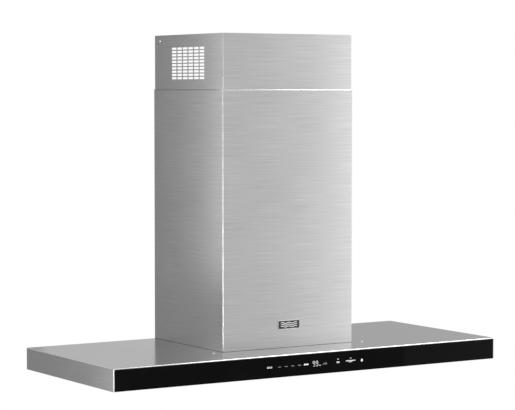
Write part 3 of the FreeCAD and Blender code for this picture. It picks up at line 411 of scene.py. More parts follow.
def brushed(name, tone, wall_rough, top_rough, depth, fineness=600.0):
    """Stainless with belt grain. A surface that faces up is polished finer."""
    material, tree, shader, coords = finish(name, Metallic=1.0)
    grain = use_group(tree, BELT_GRAIN, Place=coords.outputs["Object"],
                      Facing=coords.outputs["Normal"], Depth=depth, Fineness=fineness)
    clouds = use_group(tree, HANDLING, Place=coords.outputs["Object"], Size=5.0)
    mask = math_node(tree, "SUBTRACT", grain.outputs["Tint"], 0.5)
    darker = tuple(c * 0.5 for c in tone)
    lighter = tuple(min(1.0, c * 1.5) for c in tone)
    tinted(tree, shader, darker, lighter, mask)
    wall = between(tree, clouds.outputs["Cloud"], wall_rough, wall_rough + CLOUD_ROUGHNESS)
    top = between(tree, clouds.outputs["Cloud"], top_rough, top_rough + CLOUD_ROUGHNESS)
    rough = node(tree, "Mix")
    wire(tree, grain.outputs["Flat Top"], rough.inputs[MIX_FACTOR])
    wire(tree, wall, rough.inputs[MIX_A])
    wire(tree, top, rough.inputs[MIX_B])
    swing = math_node(tree, "SUBTRACT", grain.outputs["Height"], 0.5)
    lines = math_node(tree, "MULTIPLY", swing, LINE_ROUGHNESS)
    wire(tree, math_node(tree, "ADD", rough.outputs[0], lines), shader.inputs["Roughness"])
    bumped(tree, shader, grain.outputs["Height"], SCRATCH_DEPTH)
    return material


BRUSHED = brushed("brushed_stainless", (0.66, 0.66, 0.66), 0.28, 0.15, 0.43)
SATIN = brushed("satin_stainless", (0.56, 0.56, 0.56), 0.34, 0.28, 0.25)
TURNED = brushed("turned_steel", (0.45, 0.45, 0.46), 0.25, 0.25, 0.25, 1500.0)
print("stainless finishes ready")

# %% [markdown]
# Zinc-coated sheet shows its crystals: flat grains a centimetre or so wide, each a little lighter
# or darker than its neighbours. Voronoi cells are the natural pattern for them.

# %% Zinc-coated sheet
def zinc_coat():
    """Sheet whose crystals differ in tone and in gloss, with slightly wandering borders."""
    material, tree, shader, coords = finish("zinc_sheet", Metallic=0.9)
    crystals = node(tree, "TexVoronoi")
    crystals.inputs["Scale"].default_value = 70
    warp = node(tree, "TexNoise")
    warp.inputs["Scale"].default_value = 30
    wire(tree, coords.outputs["Object"], warp.inputs["Vector"])
    shift = node(tree, "VectorMath", operation="SCALE")
    shift.inputs["Scale"].default_value = 0.012
    wire(tree, warp.outputs[1], shift.inputs[0])
    place = node(tree, "VectorMath", operation="ADD")
    wire(tree, coords.outputs["Object"], place.inputs[0])
    wire(tree, shift.outputs[0], place.inputs[1])
    wire(tree, place.outputs[0], crystals.inputs["Vector"])
    tone = node(tree, "SeparateXYZ")
    wire(tree, crystals.outputs["Color"], tone.inputs[0])
    tinted(tree, shader, (0.40, 0.42, 0.43), (0.60, 0.62, 0.63), tone.outputs["X"])
    wire(tree, between(tree, tone.outputs["Y"], 0.34, 0.52), shader.inputs["Roughness"])
    return material


ZINC = zinc_coat()
print("zinc ready")

# %% [markdown]
# The control strip is glass painted black on its back. Its reflections are kept weaker than bare
# glass would have, as if it mirrored a darkened studio.

# %% Black glass, lamp glass and polished parts
def black_glass():
    """Nearly black, with reflections set low."""
    material, tree, shader, coords = finish("black_glass", Specular_IOR_Level=0.03)
    clouds = use_group(tree, HANDLING, Place=coords.outputs["Object"], Size=9.0)
    tinted(tree, shader, (0.0035, 0.0035, 0.0038), (0.0050, 0.0050, 0.0052),
           clouds.outputs["Cloud"])
    wire(tree, between(tree, clouds.outputs["Cloud"], 0.05, 0.09), shader.inputs["Roughness"])
    return material


def lamp_glass():
    """Frosted glass that glows a little, as over a lit lamp."""
    material, tree, shader, coords = finish(
        "frosted_lamp_glass", Transmission_Weight=0.55, IOR=1.45, Emission_Strength=0.35)
    clouds = use_group(tree, HANDLING, Place=coords.outputs["Object"], Size=140.0)
    tinted(tree, shader, (0.86, 0.85, 0.80), (0.95, 0.94, 0.90), clouds.outputs["Cloud"])
    wire(tree, between(tree, clouds.outputs["Speck"], 0.35, 0.6), shader.inputs["Roughness"])
    glow = node(tree, "Mix", data_type="RGBA")
    glow.inputs[MIX_COLOUR_A].default_value = (0.9, 0.86, 0.74, 1)
    glow.inputs[MIX_COLOUR_B].default_value = (1.0, 0.96, 0.86, 1)
    wire(tree, clouds.outputs["Cloud"], glow.inputs[MIX_FACTOR])
    wire(tree, glow.outputs[MIX_COLOUR_OUT], shader.inputs["Emission Color"])
    return material


def polished():
    """Bright chrome with a faintly handled gloss."""
    material, tree, shader, coords = finish("polished_chrome", Metallic=1.0)
    clouds = use_group(tree, HANDLING, Place=coords.outputs["Object"], Size=90.0)
    tinted(tree, shader, (0.74, 0.74, 0.75), (0.84, 0.84, 0.85), clouds.outputs["Cloud"])
    wire(tree, between(tree, clouds.outputs["Speck"], 0.06, 0.16), shader.inputs["Roughness"])
    return material


BLACK_GLASS = black_glass()
LAMP_GLASS = lamp_glass()
POLISHED = polished()
print("glass and chrome ready")

# %% Moulded, rubber, felt, painted and printed finishes
def moulded(name, dark, light, rough_low, rough_high, size, depth=0.0):
    """Any non-metal: two close tones in clouds, a speckled roughness, a fine texture."""
    material, tree, shader, coords = finish(name)
    clouds = use_group(tree, HANDLING, Place=coords.outputs["Object"], Size=size)
    tinted(tree, shader, dark, light, clouds.outputs["Cloud"])
    wire(tree, between(tree, clouds.outputs["Speck"], rough_low, rough_high),
         shader.inputs["Roughness"])
    if depth:
        bumped(tree, shader, clouds.outputs["Speck"], depth)
    return material


FAN_PLASTIC = moulded("fan_plastic", (0.10, 0.10, 0.11), (0.14, 0.14, 0.15), 0.4, 0.6, 30)
BLACK_PLASTIC = moulded("black_plastic", (0.02, 0.02, 0.02), (0.035, 0.035, 0.036), 0.35,
                        0.55, 40, 0.00003)
RUBBER = moulded("soft_rubber", (0.012, 0.012, 0.012), (0.025, 0.024, 0.023), 0.75, 0.95, 60,
                 0.00005)
CABLE = moulded("cable_jacket", (0.03, 0.03, 0.032), (0.05, 0.05, 0.052), 0.4, 0.6, 80)
FELT = moulded("grey_felt", (0.06, 0.06, 0.06), (0.14, 0.14, 0.14), 0.9, 1.0, 900, 0.0002)
CASE = moulded("capacitor_case", (0.70, 0.70, 0.67), (0.80, 0.80, 0.78), 0.3, 0.45, 50)
BOARD = moulded("circuit_board", (0.012, 0.10, 0.04), (0.02, 0.17, 0.07), 0.25, 0.4, 200)
BADGE = moulded("badge_face", (0.030, 0.031, 0.036), (0.048, 0.050, 0.056), 0.12, 0.22, 60)
HEAT_SINK = brushed("cast_heat_sink", (0.5, 0.5, 0.51), 0.45, 0.45, 0.08, 300.0)
print("other finishes ready")

# %% [markdown]
# ## Dress the solid parts
# The solid parts whose shapes are right keep their meshes and only get a better finish.

# %% Finish for each solid part
DRESS = {
    BRUSHED: ["canopy_shell", "canopy_end_left", "canopy_end_right", "canopy_back",
              "lower_cover", "upper_cover", "cover_locators"],
    SATIN: ["underside_panel", "glass_channel", "filter_brackets", "latch_keepers"]
    + [part + side for part in ("filter_frame_", "filter_baffles_", "latch_bolt_")
       for side in ("left", "centre", "right")],
    ZINC: ["blower_box", "scroll_wrapper", "scroll_cheek_left", "scroll_cheek_right",
           "inlet_ring_left", "inlet_ring_right", "stiffener_left", "stiffener_right",
           "wall_cleat", "box_cleat", "upper_wall_bracket", "motor_bracket", "control_box",
           "control_box_lid", "junction_box", "junction_lid"],
    BLACK_GLASS: ["front_glass"], LAMP_GLASS: ["lamp_lenses"],
    POLISHED: ["top_screws", "cover_screws", "box_screws", "lamp_bezels"],
    HEAT_SINK: ["lamp_modules"], BADGE: ["badge_plate"], BOARD: ["touch_board", "power_board"],
    FAN_PLASTIC: ["fan_wheel"], TURNED: ["motor_shaft", "fan_hub", "damper_pin", "motor_body"],
    BLACK_PLASTIC: ["damper_flap_front", "damper_flap_rear", "outlet_collar"],
    RUBBER: ["motor_mounts"], CABLE: ["touch_cable", "lamp_cable", "motor_cable"],
    CASE: ["capacitor"], FELT: ["glide_strips"],
}


def dress(part, material):
    """Gives one solid part its finish and leaves its mesh alone."""
    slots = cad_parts[part].data.materials
    slots.clear()
    slots.append(material)


for coat, parts in DRESS.items():
    for part in parts:
        dress(part, coat)
bare = set(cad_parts) - {part for parts in DRESS.values() for part in parts}
print("parts with no finish:", sorted(bare))

# %% [markdown]
# ## Thin trim
# A sheet edge on a hood is never left raw. The lower cover's top edge is folded into a small hem,
# a soft black strip fills the gap round the inner cover, as a wiper and as painted shade that
# darkens the gap the way its shadow would, and a thin black gasket seals its foot to the canopy and
# is also the painted contact shadow along that foot. All three are one small section swept along
# the cover's outline. A sweep needs, at each stop of the path, which way is outward and which way
# is up, and then it is only arithmetic.

# %% Sweep a section along a path
def add_sweep(shape, stops, section, closed=False):
    """Adds a swept strip. Each stop is a place with its outward and upward directions."""
    rings = []
    for place, outward, upward in stops:
        rings.append([shape.verts.new(place + outward * out + upward * up)
                      for out, up in section])
    pairs = list(zip(rings, rings[1:]))
    if closed:
        pairs.append((rings[-1], rings[0]))
    count = len(section)
    for first, second in pairs:
        for i in range(count):
            j = (i + 1) % count
            shape.faces.new((first[i], first[j], second[j], second[i]))
    if not closed:
        shape.faces.new(rings[0])
        shape.faces.new(list(reversed(rings[-1])))


def piece(name, shape, coat, body, smooth=False):
    """Turns a finished shape into a piece of the hood that moves with a body."""
    bmesh.ops.remove_doubles(shape, verts=shape.verts, dist=1e-7)
    bmesh.ops.recalc_face_normals(shape, faces=shape.faces)
    for face in shape.faces:
        face.smooth = smooth
    mesh = bpy.data.meshes.new(name)
    shape.to_mesh(mesh)
    shape.free()
    mesh.materials.append(coat)
    thing = bpy.data.objects.new(name, mesh)
    scene.collection.objects.link(thing)
    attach(thing, body)
    print(name, "has", len(mesh.polygons), "faces")


def round_section(radius, sides, out=0.0, up=0.0, squash=1.0):
    """A round or oval section of a strip."""
    turns = [2 * math.pi * i / sides for i in range(sides)]
    return [(out + radius * math.cos(t), up + radius * squash * math.sin(t)) for t in turns]


UP = Vector((0, 0, 1))


def cover_outline(low, high, radius=0.002, steps=5):
    """The path round the left side, front and right side of a chimney cover."""
    stops = [(Vector((low.x, high.y, 0)), Vector((-1, 0, 0)), UP)]
    for centre_x, start in ((low.x + radius, 180), (high.x - radius, 270)):
        for i in range(steps + 1):
            turn = math.radians(start + 90 * i / steps)
            out = Vector((math.cos(turn), math.sin(turn), 0))
            stops.append((Vector((centre_x, low.y + radius, 0)) + out * radius, out, UP))
    stops.append((Vector((high.x, high.y, 0)), Vector((1, 0, 0)), UP))
    return stops


# %% Hem, gap seal with painted shade, and foot gasket with painted contact shadow
cover_low, cover_high = (Vector(c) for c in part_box("lower_cover"))
outline = cover_outline(cover_low, cover_high)

hem = bmesh.new()
add_sweep(hem, outline, round_section(0.00085, 10, -0.00045, cover_high.z - 0.0004, 1.4))
piece("cover_hem", hem, POLISHED, "lower_cover", smooth=True)

# The black strip in the gap is a seal and also painted shade: it darkens the gap where its shadow
# falls.
gap_seal_and_shade = bmesh.new()
add_sweep(gap_seal_and_shade, outline, [(-0.0016, cover_high.z + 0.0003), (-0.0007, cover_high.z + 0.0003),
                           (-0.0011, cover_high.z + 0.0010), (-0.0015, cover_high.z + 0.0010)])
piece("cover_wiper", gap_seal_and_shade, RUBBER, "lower_cover")

# The black strip at the foot is a gasket and also a painted contact shadow where the cover meets
# the canopy.
seal_and_contact_shade = bmesh.new()
add_sweep(seal_and_contact_shade, outline, [(-0.0006, cover_low.z), (0.0004, cover_low.z),
                            (0.0002, cover_low.z + 0.0006), (-0.0006, cover_low.z + 0.0006)])
piece("foot_gasket", seal_and_contact_shade, RUBBER, "lower_cover")

# %% [markdown]
# ## Badge
# A small enamelled plate sits low on the chimney's front. It has a bright raised rim and, as a
# plain mark of what the machine does, three rising waves of air. Both are swept strips again, this
# time lying flat on the plate, with the direction of the cook as their upward one.

# %% Badge rim and waves
OUT = Vector((0, -1, 0))


def flat_stops(points, front, closed=False):
    """Stops along a line drawn on an upright face at y = front."""
    stops, count = [], len(points)
    for i, (x, z) in enumerate(points):
        before = points[i - 1] if closed or i else points[i]
        after = points[(i + 1) % count] if closed or i < count - 1 else points[i]
        along = Vector((after[0] - before[0], 0, after[1] - before[1])).normalized()
        stops.append((Vector((x, front, z)), along.cross(OUT), OUT))
    return stops


def rounded_rectangle(low_x, low_z, high_x, high_z, radius, steps=5):
    """The points of a rectangle with round corners on an upright face."""
    points = []
    for centre_x, centre_z, start in ((high_x - radius, high_z - radius, 0),
                                      (low_x + radius, high_z - radius, 90),
                                      (low_x + radius, low_z + radius, 180),
                                      (high_x - radius, low_z + radius, 270)):
        for i in range(steps + 1):
            turn = math.radians(start + 90 * i / steps)
            points.append((centre_x + radius * math.cos(turn),
                           centre_z + radius * math.sin(turn)))
    return points


badge_low, badge_high = (Vector(c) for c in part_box("badge_plate"))
RIM_INSET = 0.0010
rim_line = rounded_rectangle(badge_low.x + RIM_INSET, badge_low.z + RIM_INSET,
                             badge_high.x - RIM_INSET, badge_high.z - RIM_INSET, 0.0012)
rim = bmesh.new()
add_sweep(rim, flat_stops(rim_line, badge_low.y, closed=True),
          round_section(0.0010, 8, 0, 0, 0.4), closed=True)
piece("badge_rim", rim, SATIN, "lower_cover", smooth=True)

WHITE_ENAMEL = moulded("white_enamel", (0.84, 0.84, 0.83), (0.92, 0.92, 0.91), 0.2, 0.35, 80)
badge_middle = (badge_low + badge_high) / 2
WAVE_LENGTH, WAVE_GAP, WAVE_HEIGHT, WAVE_STEPS = 0.052, 0.0050, 0.0015, 40
waves = bmesh.new()
for row in (-1, 0, 1):
    line = []
    for i in range(WAVE_STEPS + 1):
        t = i / WAVE_STEPS
        line.append((badge_middle.x - WAVE_LENGTH / 2 + WAVE_LENGTH * t,
                     badge_middle.z + row * WAVE_GAP + WAVE_HEIGHT * math.sin(t * 5 * math.pi)))
    add_sweep(waves, flat_stops(line, badge_low.y), round_section(0.0010, 6, 0, 0, 0.35))
piece("badge_waves", waves, WHITE_ENAMEL, "lower_cover", smooth=True)

# %% [markdown]
# ## Touch controls
# The symbols are printed behind the glass and lit from the touch board. On a real hood they are
# flush. Here each is a strip about a tenth of a millimetre thick on the glass. Bright symbols are
# on, dim ones are only printed. A two-digit display shows a timer in seven-segment figures.

# %% Symbol light
def symbol_light(name, tone, strength):
    """Printed ink that the board behind lights up, a little uneven."""
    material, tree, shader, coords = finish(name, Emission_Strength=strength, Roughness=0.4)
    clouds = use_group(tree, HANDLING, Place=coords.outputs["Object"], Size=400.0)
    mix = node(tree, "Mix", data_type="RGBA")
    mix.inputs[MIX_COLOUR_A].default_value = (*(c * 0.86 for c in tone), 1)
    mix.inputs[MIX_COLOUR_B].default_value = (*tone, 1)
    wire(tree, clouds.outputs["Cloud"], mix.inputs[MIX_FACTOR])
    wire(tree, mix.outputs[MIX_COLOUR_OUT], shader.inputs["Emission Color"])
    wire(tree, mix.outputs[MIX_COLOUR_OUT], shader.inputs["Base Color"])
    return material


LIT = symbol_light("lit_symbol", (0.95, 0.97, 1.0), 0.70)
UNLIT = symbol_light("printed_symbol", (0.30, 0.31, 0.32), 0.25)

glass_low = Vector(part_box("front_glass")[0])
ROW = glass_low.z + 0.0285
INK = 0.00012


def draw(shape, points, width, closed=False):
    """One stroke of a symbol on the glass."""
    half = width / 2
    add_sweep(shape, flat_stops(points, glass_low.y, closed),
              [(-half, 0.0), (half, 0.0), (half, INK), (-half, INK)], closed)


def arc(x, z, radius, start, end, steps):
    """The points of an arc on an upright face, between two angles in degrees."""
    turns = [math.radians(start + (end - start) * i / steps) for i in range(steps + 1)]
    return [(x + radius * math.cos(t), z + radius * math.sin(t)) for t in turns]


# %% Seven-segment figures
SEGMENTS = {"top": (0, 1, 1, 1), "middle": (0, 0.5, 1, 0.5), "bottom": (0, 0, 1, 0),
            "upper_left": (0, 0.5, 0, 1), "upper_right": (1, 0.5, 1, 1),
            "lower_left": (0, 0, 0, 0.5), "lower_right": (1, 0, 1, 0.5)}
FIGURES = {"9": ("top", "middle", "bottom", "upper_left", "upper_right", "lower_right")}
SEGMENT_GAP = 0.12


def draw_figure(shape, figure, x, z, width, height, stroke):
    """One figure from its segments, with a gap where they meet."""
    for label in FIGURES[figure]:
        ax, az, bx, bz = SEGMENTS[label]
        gap_x = SEGMENT_GAP * (bx - ax)
        gap_z = SEGMENT_GAP * (bz - az)
        draw(shape, [(x + (ax + gap_x) * width, z + (az + gap_z) * height),
                     (x + (bx - gap_x) * width, z + (bz - gap_z) * height)], stroke)


# %% Lit symbols
def draw_bar(shape, x, z, length, thick):
    """A level stroke about a middle point."""
    draw(shape, [(x - length / 2, z), (x + length / 2, z)], thick)


POWER_X, MENU_X, SPEED_X, BULB_X, FAN_X = -0.149, -0.1405, -0.0335, 0.074, 0.1150

lit = bmesh.new()
draw(lit, arc(POWER_X, ROW, 0.0021, 120, 420, 14), 0.0008)
draw(lit, [(POWER_X, ROW + 0.0006), (POWER_X, ROW + 0.0030)], 0.0007)
draw_bar(lit, MENU_X, ROW + 0.0012, 0.0095, 0.0008)
draw_bar(lit, MENU_X, ROW - 0.0012, 0.0095, 0.0008)
draw(lit, arc(SPEED_X, ROW, 0.0020, 0, 345, 14), 0.0010)
draw_bar(lit, -0.0260, ROW, 0.0090, 0.0028)
for left in (-0.0068, 0.0030):
    draw_figure(lit, "9", left, ROW - 0.0062, 0.0060, 0.0130, 0.0008)
for i in range(3):
    draw(lit, [(0.0130 + 0.0020 * i, ROW - 0.0062), (0.0130 + 0.0020 * i, ROW - 0.0040)], 0.0008)
draw(lit, arc(BULB_X, ROW + 0.0064, 0.0018, -10, 190, 10), 0.0009)
for z, length in ((-0.0002, 0.0100), (-0.0026, 0.0085)):
    draw_bar(lit, BULB_X, ROW + z, length, 0.0010)
draw(lit, arc(FAN_X, ROW + 0.0064, 0.0018, -10, 190, 10), 0.0009)
for i in range(9):
    draw_bar(lit, 0.1010 + 0.0035 * i, ROW + 0.0004, 0.0022, 0.0020)
draw_bar(lit, FAN_X, ROW - 0.0030, 0.0110, 0.0009)
draw(lit, rounded_rectangle(0.1500, ROW - 0.0036, 0.1540, ROW + 0.0004, 0.0006), 0.0014, True)
draw(lit, arc(0.152, ROW + 0.0010, 0.0014, 0, 180, 10), 0.0007)
piece("lit_symbols", lit, LIT, "canopy")

# %% Printed symbols
WAVE_POINTS = 16

printed = bmesh.new()
for rank, x in enumerate((-0.113, -0.092, -0.071, -0.050)):
    wave = [(x - 0.0048 + 0.0096 * i / WAVE_POINTS,
             ROW - 0.0005 + (0.0005 + 0.0003 * rank) * math.sin(i / WAVE_POINTS * 4 * math.pi))
            for i in range(WAVE_POINTS + 1)]
    draw(printed, wave, 0.0010)
draw(printed, [(0.0240, ROW - 0.0030), (0.0390, ROW - 0.0030)], 0.0011)
draw(printed, [(0.0270, ROW - 0.0004), (0.0365, ROW - 0.0004)], 0.0009)
draw(printed, [(0.0345, ROW + 0.0014), (0.0370, ROW - 0.0004), (0.0345, ROW - 0.0022)], 0.0008)
piece("printed_symbols", printed, UNLIT, "canopy")

# %% [markdown]
# ## Screws and rivets
# The same few fasteners appear dozens of times, so they are set out with Geometry Nodes: one head
# is modelled with care, and a node tree puts a copy on each vertex of a list of spots, turned the
# way its surface faces. The copies are made real and given their finish in the tree.

# %% A tree that sets out copies
def set_out_tree():
    """Puts a pattern on each spot, makes the copies real and gives them their finish."""
    tree = bpy.data.node_groups.new("set_out", "GeometryNodeTree")
    tree.interface.new_socket(name="Spots", in_out="INPUT", socket_type="NodeSocketGeometry")
    tree.interface.new_socket(name="Pattern", in_out="INPUT", socket_type="NodeSocketObject")
    size = tree.interface.new_socket(name="Size", in_out="INPUT", socket_type="NodeSocketFloat")
    size.default_value = 1.0
    tree.interface.new_socket(name="Finish", in_out="INPUT", socket_type="NodeSocketMaterial")
    tree.interface.new_socket(name="Copies", in_out="OUTPUT", socket_type="NodeSocketGeometry")
    enter, leave = tree.nodes.new("NodeGroupInput"), tree.nodes.new("NodeGroupOutput")
    pattern = tree.nodes.new("GeometryNodeObjectInfo")
    turn = tree.nodes.new("GeometryNodeInputNamedAttribute")
    turn.data_type = "FLOAT_VECTOR"
    turn.inputs["Name"].default_value = "turn"
    spin = tree.nodes.new("FunctionNodeEulerToRotation")
    copies = tree.nodes.new("GeometryNodeInstanceOnPoints")
    real = tree.nodes.new("GeometryNodeRealizeInstances")
    coat = tree.nodes.new("GeometryNodeSetMaterial")
    link = tree.links.new
    link(enter.outputs["Spots"], copies.inputs["Points"])
    link(enter.outputs["Pattern"], pattern.inputs["Object"])
    link(pattern.outputs["Geometry"], copies.inputs["Instance"])
    link(turn.outputs["Attribute"], spin.inputs[0])
    link(spin.outputs[0], copies.inputs["Rotation"])
    link(enter.outputs["Size"], copies.inputs["Scale"])
    link(copies.outputs["Instances"], real.inputs[0])
    link(real.outputs[0], coat.inputs["Geometry"])
    link(enter.outputs["Finish"], coat.inputs["Material"])
    link(coat.outputs[0], leave.inputs[0])
    return tree


SET_OUT = set_out_tree()


def set_out(name, pattern, spots, coat, body, size=1.0):
    """Copies of a pattern at (place, way it faces, spin), as one plain mesh on one body."""
    mesh = bpy.data.meshes.new(name + "_spots")
    mesh.from_pydata([place for place, way, spin in spots], [], [])
    turns = mesh.attributes.new("turn", "FLOAT_VECTOR", "POINT")
    for i, (place, way, spin) in enumerate(spots):
        facing = Vector(way).to_track_quat("Z", "Y").to_matrix()
        turned = (facing @ Matrix.Rotation(spin, 3, "Z")).to_euler()
        turns.data[i].vector = turned[:]
    thing = bpy.data.objects.new(name, mesh)
    scene.collection.objects.link(thing)
    modifier = thing.modifiers.new("set_out", "NODES")
    modifier.node_group = SET_OUT
    sockets = {item.name: item.identifier for item in SET_OUT.interface.items_tree}
    modifier[sockets["Pattern"]] = pattern
    modifier[sockets["Size"]] = float(size)
    modifier[sockets["Finish"]] = coat
    seen = thing.evaluated_get(bpy.context.evaluated_depsgraph_get())
    plain = bpy.data.meshes.new_from_object(seen)
    plain.name = name
    thing.modifiers.clear()
    thing.data = plain
    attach(thing, body)
    print(name, "sets out", len(spots), "copies,", len(plain.polygons), "faces")
    return thing


# %% [markdown]
# The pattern pieces are turned shapes: a line of radii and heights spun round an axis. A screw's
# cross recess is pressed in by pulling the top's inner points down along two crossing lines.

# %% Pattern pieces
def pattern(name, rings, sides=20, recess=None):
    """A turned shape from (radius, height) rings, closed at its middle, for setting out."""
    shape = bmesh.new()
    loops = []
    for radius, height in rings:
        loop = []
        for i in range(sides):
            turn = 2 * math.pi * i / sides
            loop.append(shape.verts.new((radius * math.cos(turn), radius * math.sin(turn),
                                         height)))
        loops.append(loop)
    for low, high in zip(loops, loops[1:]):
        for i in range(sides):
            j = (i + 1) % sides
            shape.faces.new((low[i], low[j], high[j], high[i]))
    shape.faces.new(list(reversed(loops[0])))
    shape.faces.new(loops[-1])
    for face in shape.faces:
        face.smooth = len(face.verts) == 4
    if recess:
        reach, depth = recess
        for vert in shape.verts:
            flat = math.hypot(vert.co.x, vert.co.y)
            crossed = min(abs(vert.co.x), abs(vert.co.y)) < 0.2 * reach
            if vert.co.z > 0 and flat < reach and crossed:
                vert.co.z -= depth
    mesh = bpy.data.meshes.new(name)
    shape.to_mesh(mesh)
    shape.free()
    thing = bpy.data.objects.new(name, mesh)
    scene.collection.objects.link(thing)
    return thing


def dome_rings(radius, height, steps=6, hole=0.12):
    """Rings of a domed head, from its foot to near its middle."""
    rings = [(radius, -0.0002), (radius, 0.0)]
    for i in range(1, steps + 1):
        turn = 0.5 * math.pi * i / steps * (1 - hole)
        rings.append((radius * math.cos(turn), height * math.sin(turn)))
    return rings


screw_head = pattern("screw_head", dome_rings(0.0048, 0.0022), 24, recess=(0.0028, 0.0007))
rivet_head = pattern("rivet_head", dome_rings(0.0032, 0.0011, 4), 14)
print("patterns ready")

# %% Screws that show
def loose_boxes(part):
    """The low and high corners of each loose solid of a part."""
    shape = bmesh.new()
    shape.from_mesh(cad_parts[part].data)
    bmesh.ops.remove_doubles(shape, verts=shape.verts, dist=1e-6)
    shape.verts.index_update()
    seen, boxes = set(), []
    for start in shape.verts:
        if start.index in seen:
            continue
        stack, mine = [start], []
        seen.add(start.index)
        while stack:
            vert = stack.pop()
            mine.append(vert.co.copy())
            for edge in vert.link_edges:
                other = edge.other_vert(vert)
                if other.index not in seen:
                    seen.add(other.index)
                    stack.append(other)
        low = Vector(tuple(min(p[i] for p in mine) for i in range(3)))
        high = Vector(tuple(max(p[i] for p in mine) for i in range(3)))
        boxes.append((low, high))
    shape.free()
    return boxes


canopy_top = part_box("canopy_shell")[1][2]
spots = []
for low, high in loose_boxes("top_screws"):
    spots.append((((low.x + high.x) / 2, (low.y + high.y) / 2, canopy_top), UP, 0.5))
heads = set_out("canopy_screws", screw_head, spots, POLISHED, "canopy", 0.9)
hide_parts("top_screws")

upper_low, upper_high = (Vector(c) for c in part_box("upper_cover"))
spots = []
for low, high in loose_boxes("cover_screws"):
    side = -1 if low.x < 0 else 1
    face = upper_low.x if side < 0 else upper_high.x
    spots.append(((face, (low.y + high.y) / 2, (low.z + high.z) / 2), (side, 0, 0), 0.3))
heads = set_out("chimney_screws", screw_head, spots, POLISHED, "upper_cover", 0.82)
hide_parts("cover_screws")

# %% [markdown]
# ## Fasteners on the underside, the blower box and the filters
# The underside panel is held by short screws round its border. The blower box is folded from zinc
# sheet, and its seams are closed with blind rivets. Each filter's frame is riveted at its sides,
# and those rivets must swing with their filter, so every filter gets its own set.

# %% Screws round the underside panel
DOWN = Vector((0, 0, -1))
panel_low, panel_high = (Vector(c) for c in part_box("underside_panel"))
SHEET = 0.001
panel_face = panel_high.z - SHEET
BORDER, END_INSET, SIDE_INSET = 0.009, 0.02, 0.03
SCREWS_IN_ROW = 9
SIDE_SCREWS_Y = (-0.16, -0.28)
spots = []
for i in range(SCREWS_IN_ROW):
    x = panel_low.x + END_INSET + (panel_high.x - panel_low.x - 2 * END_INSET) * i / (
        SCREWS_IN_ROW - 1)
    for y in (panel_low.y + BORDER, panel_high.y - BORDER):
        spots.append(((x, y, panel_face), DOWN, 0.4 + 0.7 * i))
for side_x in (panel_low.x + SIDE_INSET, panel_high.x - SIDE_INSET):
    for y in SIDE_SCREWS_Y:
        spots.append(((side_x, y, panel_face), DOWN, 0.9 + y))
set_out("panel_screws", screw_head, spots, POLISHED, "canopy", 0.75)

# %% Rivets at the sides of each filter
RIVET_FROM_MIDDLE = 0.144
for side in ("left", "centre", "right"):
    low, high = (Vector(c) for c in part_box("filter_frame_" + side))
    middle_x = (low.x + high.x) / 2
    spots = []
    for x in (middle_x - RIVET_FROM_MIDDLE, middle_x + RIVET_FROM_MIDDLE):
        for y in (high.y - 0.006, low.y + 0.012, low.y + 0.035):
            spots.append(((x, y, low.z), DOWN, 0.0))
    set_out("filter_rivets_" + side, rivet_head, spots, SATIN, "filter_" + side,
            0.8)

# %% Blind rivets along the blower box
box_low, box_high = (Vector(c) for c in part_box("blower_box"))
FLANGE = 0.010
box_side = box_high.x - FLANGE
box_front, box_back, box_foot = -0.330, -0.008, box_low.z
spots = []
for side in (-1, 1):
    for i in range(7):
        z = box_foot + 0.025 + 0.042 * i
        for y in (box_front + FLANGE, box_back - FLANGE):
            spots.append(((side * box_side, y, z), (side, 0, 0), 0.0))
for x in (-0.180, 0.180):
    for i in range(5):
        spots.append(((x, box_back, box_foot + 0.02 + 0.044 * i), (0, 1, 0), 0.0))
        spots.append(((x, box_front, box_foot + 0.02 + 0.06 * i), (0, -1, 0), 0.0))
for i in range(6):
    x = -0.165 + 0.066 * i
    spots.append(((x, box_front + FLANGE, box_high.z), UP, 0.0))
set_out("box_rivets", rivet_head, spots, SATIN, "canopy")

# %% [markdown]
# ## Lamps
# Each lamp's frosted glass has a moulded pattern of rings that spreads the light, and a chrome ring
# holds it. The rings are one pattern piece, set out at the four lamps.

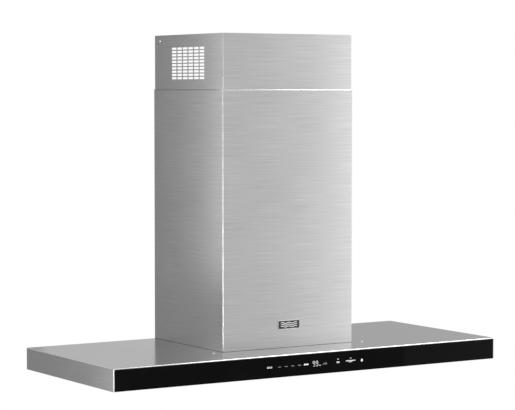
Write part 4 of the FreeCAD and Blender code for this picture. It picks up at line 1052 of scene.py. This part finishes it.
# %% Rings on the lamp glasses
def ring_pattern(name, radii, thick, sides=40):
    """Flat-lying rings round one axis."""
    shape = bmesh.new()
    for radius in radii:
        stops = []
        for i in range(sides):
            turn = 2 * math.pi * i / sides
            out = Vector((math.cos(turn), math.sin(turn), 0))
            stops.append((out * radius, out, UP))
        add_sweep(shape, stops, round_section(thick, 6, 0, 0, 0.6), closed=True)
    bmesh.ops.recalc_face_normals(shape, faces=shape.faces)
    for face in shape.faces:
        face.smooth = True
    mesh = bpy.data.meshes.new(name)
    shape.to_mesh(mesh)
    shape.free()
    thing = bpy.data.objects.new(name, mesh)
    scene.collection.objects.link(thing)
    return thing


lens_low, lens_high = (Vector(c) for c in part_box("lamp_lenses"))
lens_radius = (lens_high.y - lens_low.y) / 2
lamp_y = (lens_high.y + lens_low.y) / 2
INNER_LAMP_X = 0.150
lamp_spots = [((x, lamp_y, lens_low.z), DOWN, 0.0) for x in (
    lens_low.x + lens_radius, -INNER_LAMP_X, INNER_LAMP_X, lens_high.x - lens_radius)]
lens_rings = ring_pattern("lens_rings", (0.006, 0.011, 0.016), 0.0009)
set_out("lens_rings_set", lens_rings, lamp_spots, LAMP_GLASS, "canopy")
bezel_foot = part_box("lamp_bezels")[0][2]
bead_spots = [((place[0], lamp_y, bezel_foot), DOWN, 0.0) for place, way, spin in lamp_spots]
bead = ring_pattern("bezel_bead", (0.0315,), 0.0012)
set_out("bezel_beads", bead, bead_spots, POLISHED, "canopy")

# %% [markdown]
# ## Collar bead
# A duct collar has a raised bead near its mouth, which the duct's clamp sits behind. It is one
# more round strip, swept in a closed circle.

# %% Bead on the duct collar
COLLAR_RADIUS, COLLAR_Y, BEAD_BELOW_MOUTH, BEAD_SIDES = 0.0985, -0.112, 0.012, 72
collar_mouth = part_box("outlet_collar")[1][2]
centre = Vector((0, COLLAR_Y, collar_mouth - BEAD_BELOW_MOUTH))
stops = []
for i in range(BEAD_SIDES):
    turn = 2 * math.pi * i / BEAD_SIDES
    out = Vector((math.cos(turn), math.sin(turn), 0))
    stops.append((centre + out * COLLAR_RADIUS, out, UP))
beading = bmesh.new()
add_sweep(beading, stops, round_section(0.0016, 8), closed=True)
piece("collar_bead", beading, BLACK_PLASTIC, "canopy", smooth=True)

# %% Remove the pattern pieces, and the end
for used in (screw_head, rivet_head, lens_rings, bead):
    bpy.data.objects.remove(used)
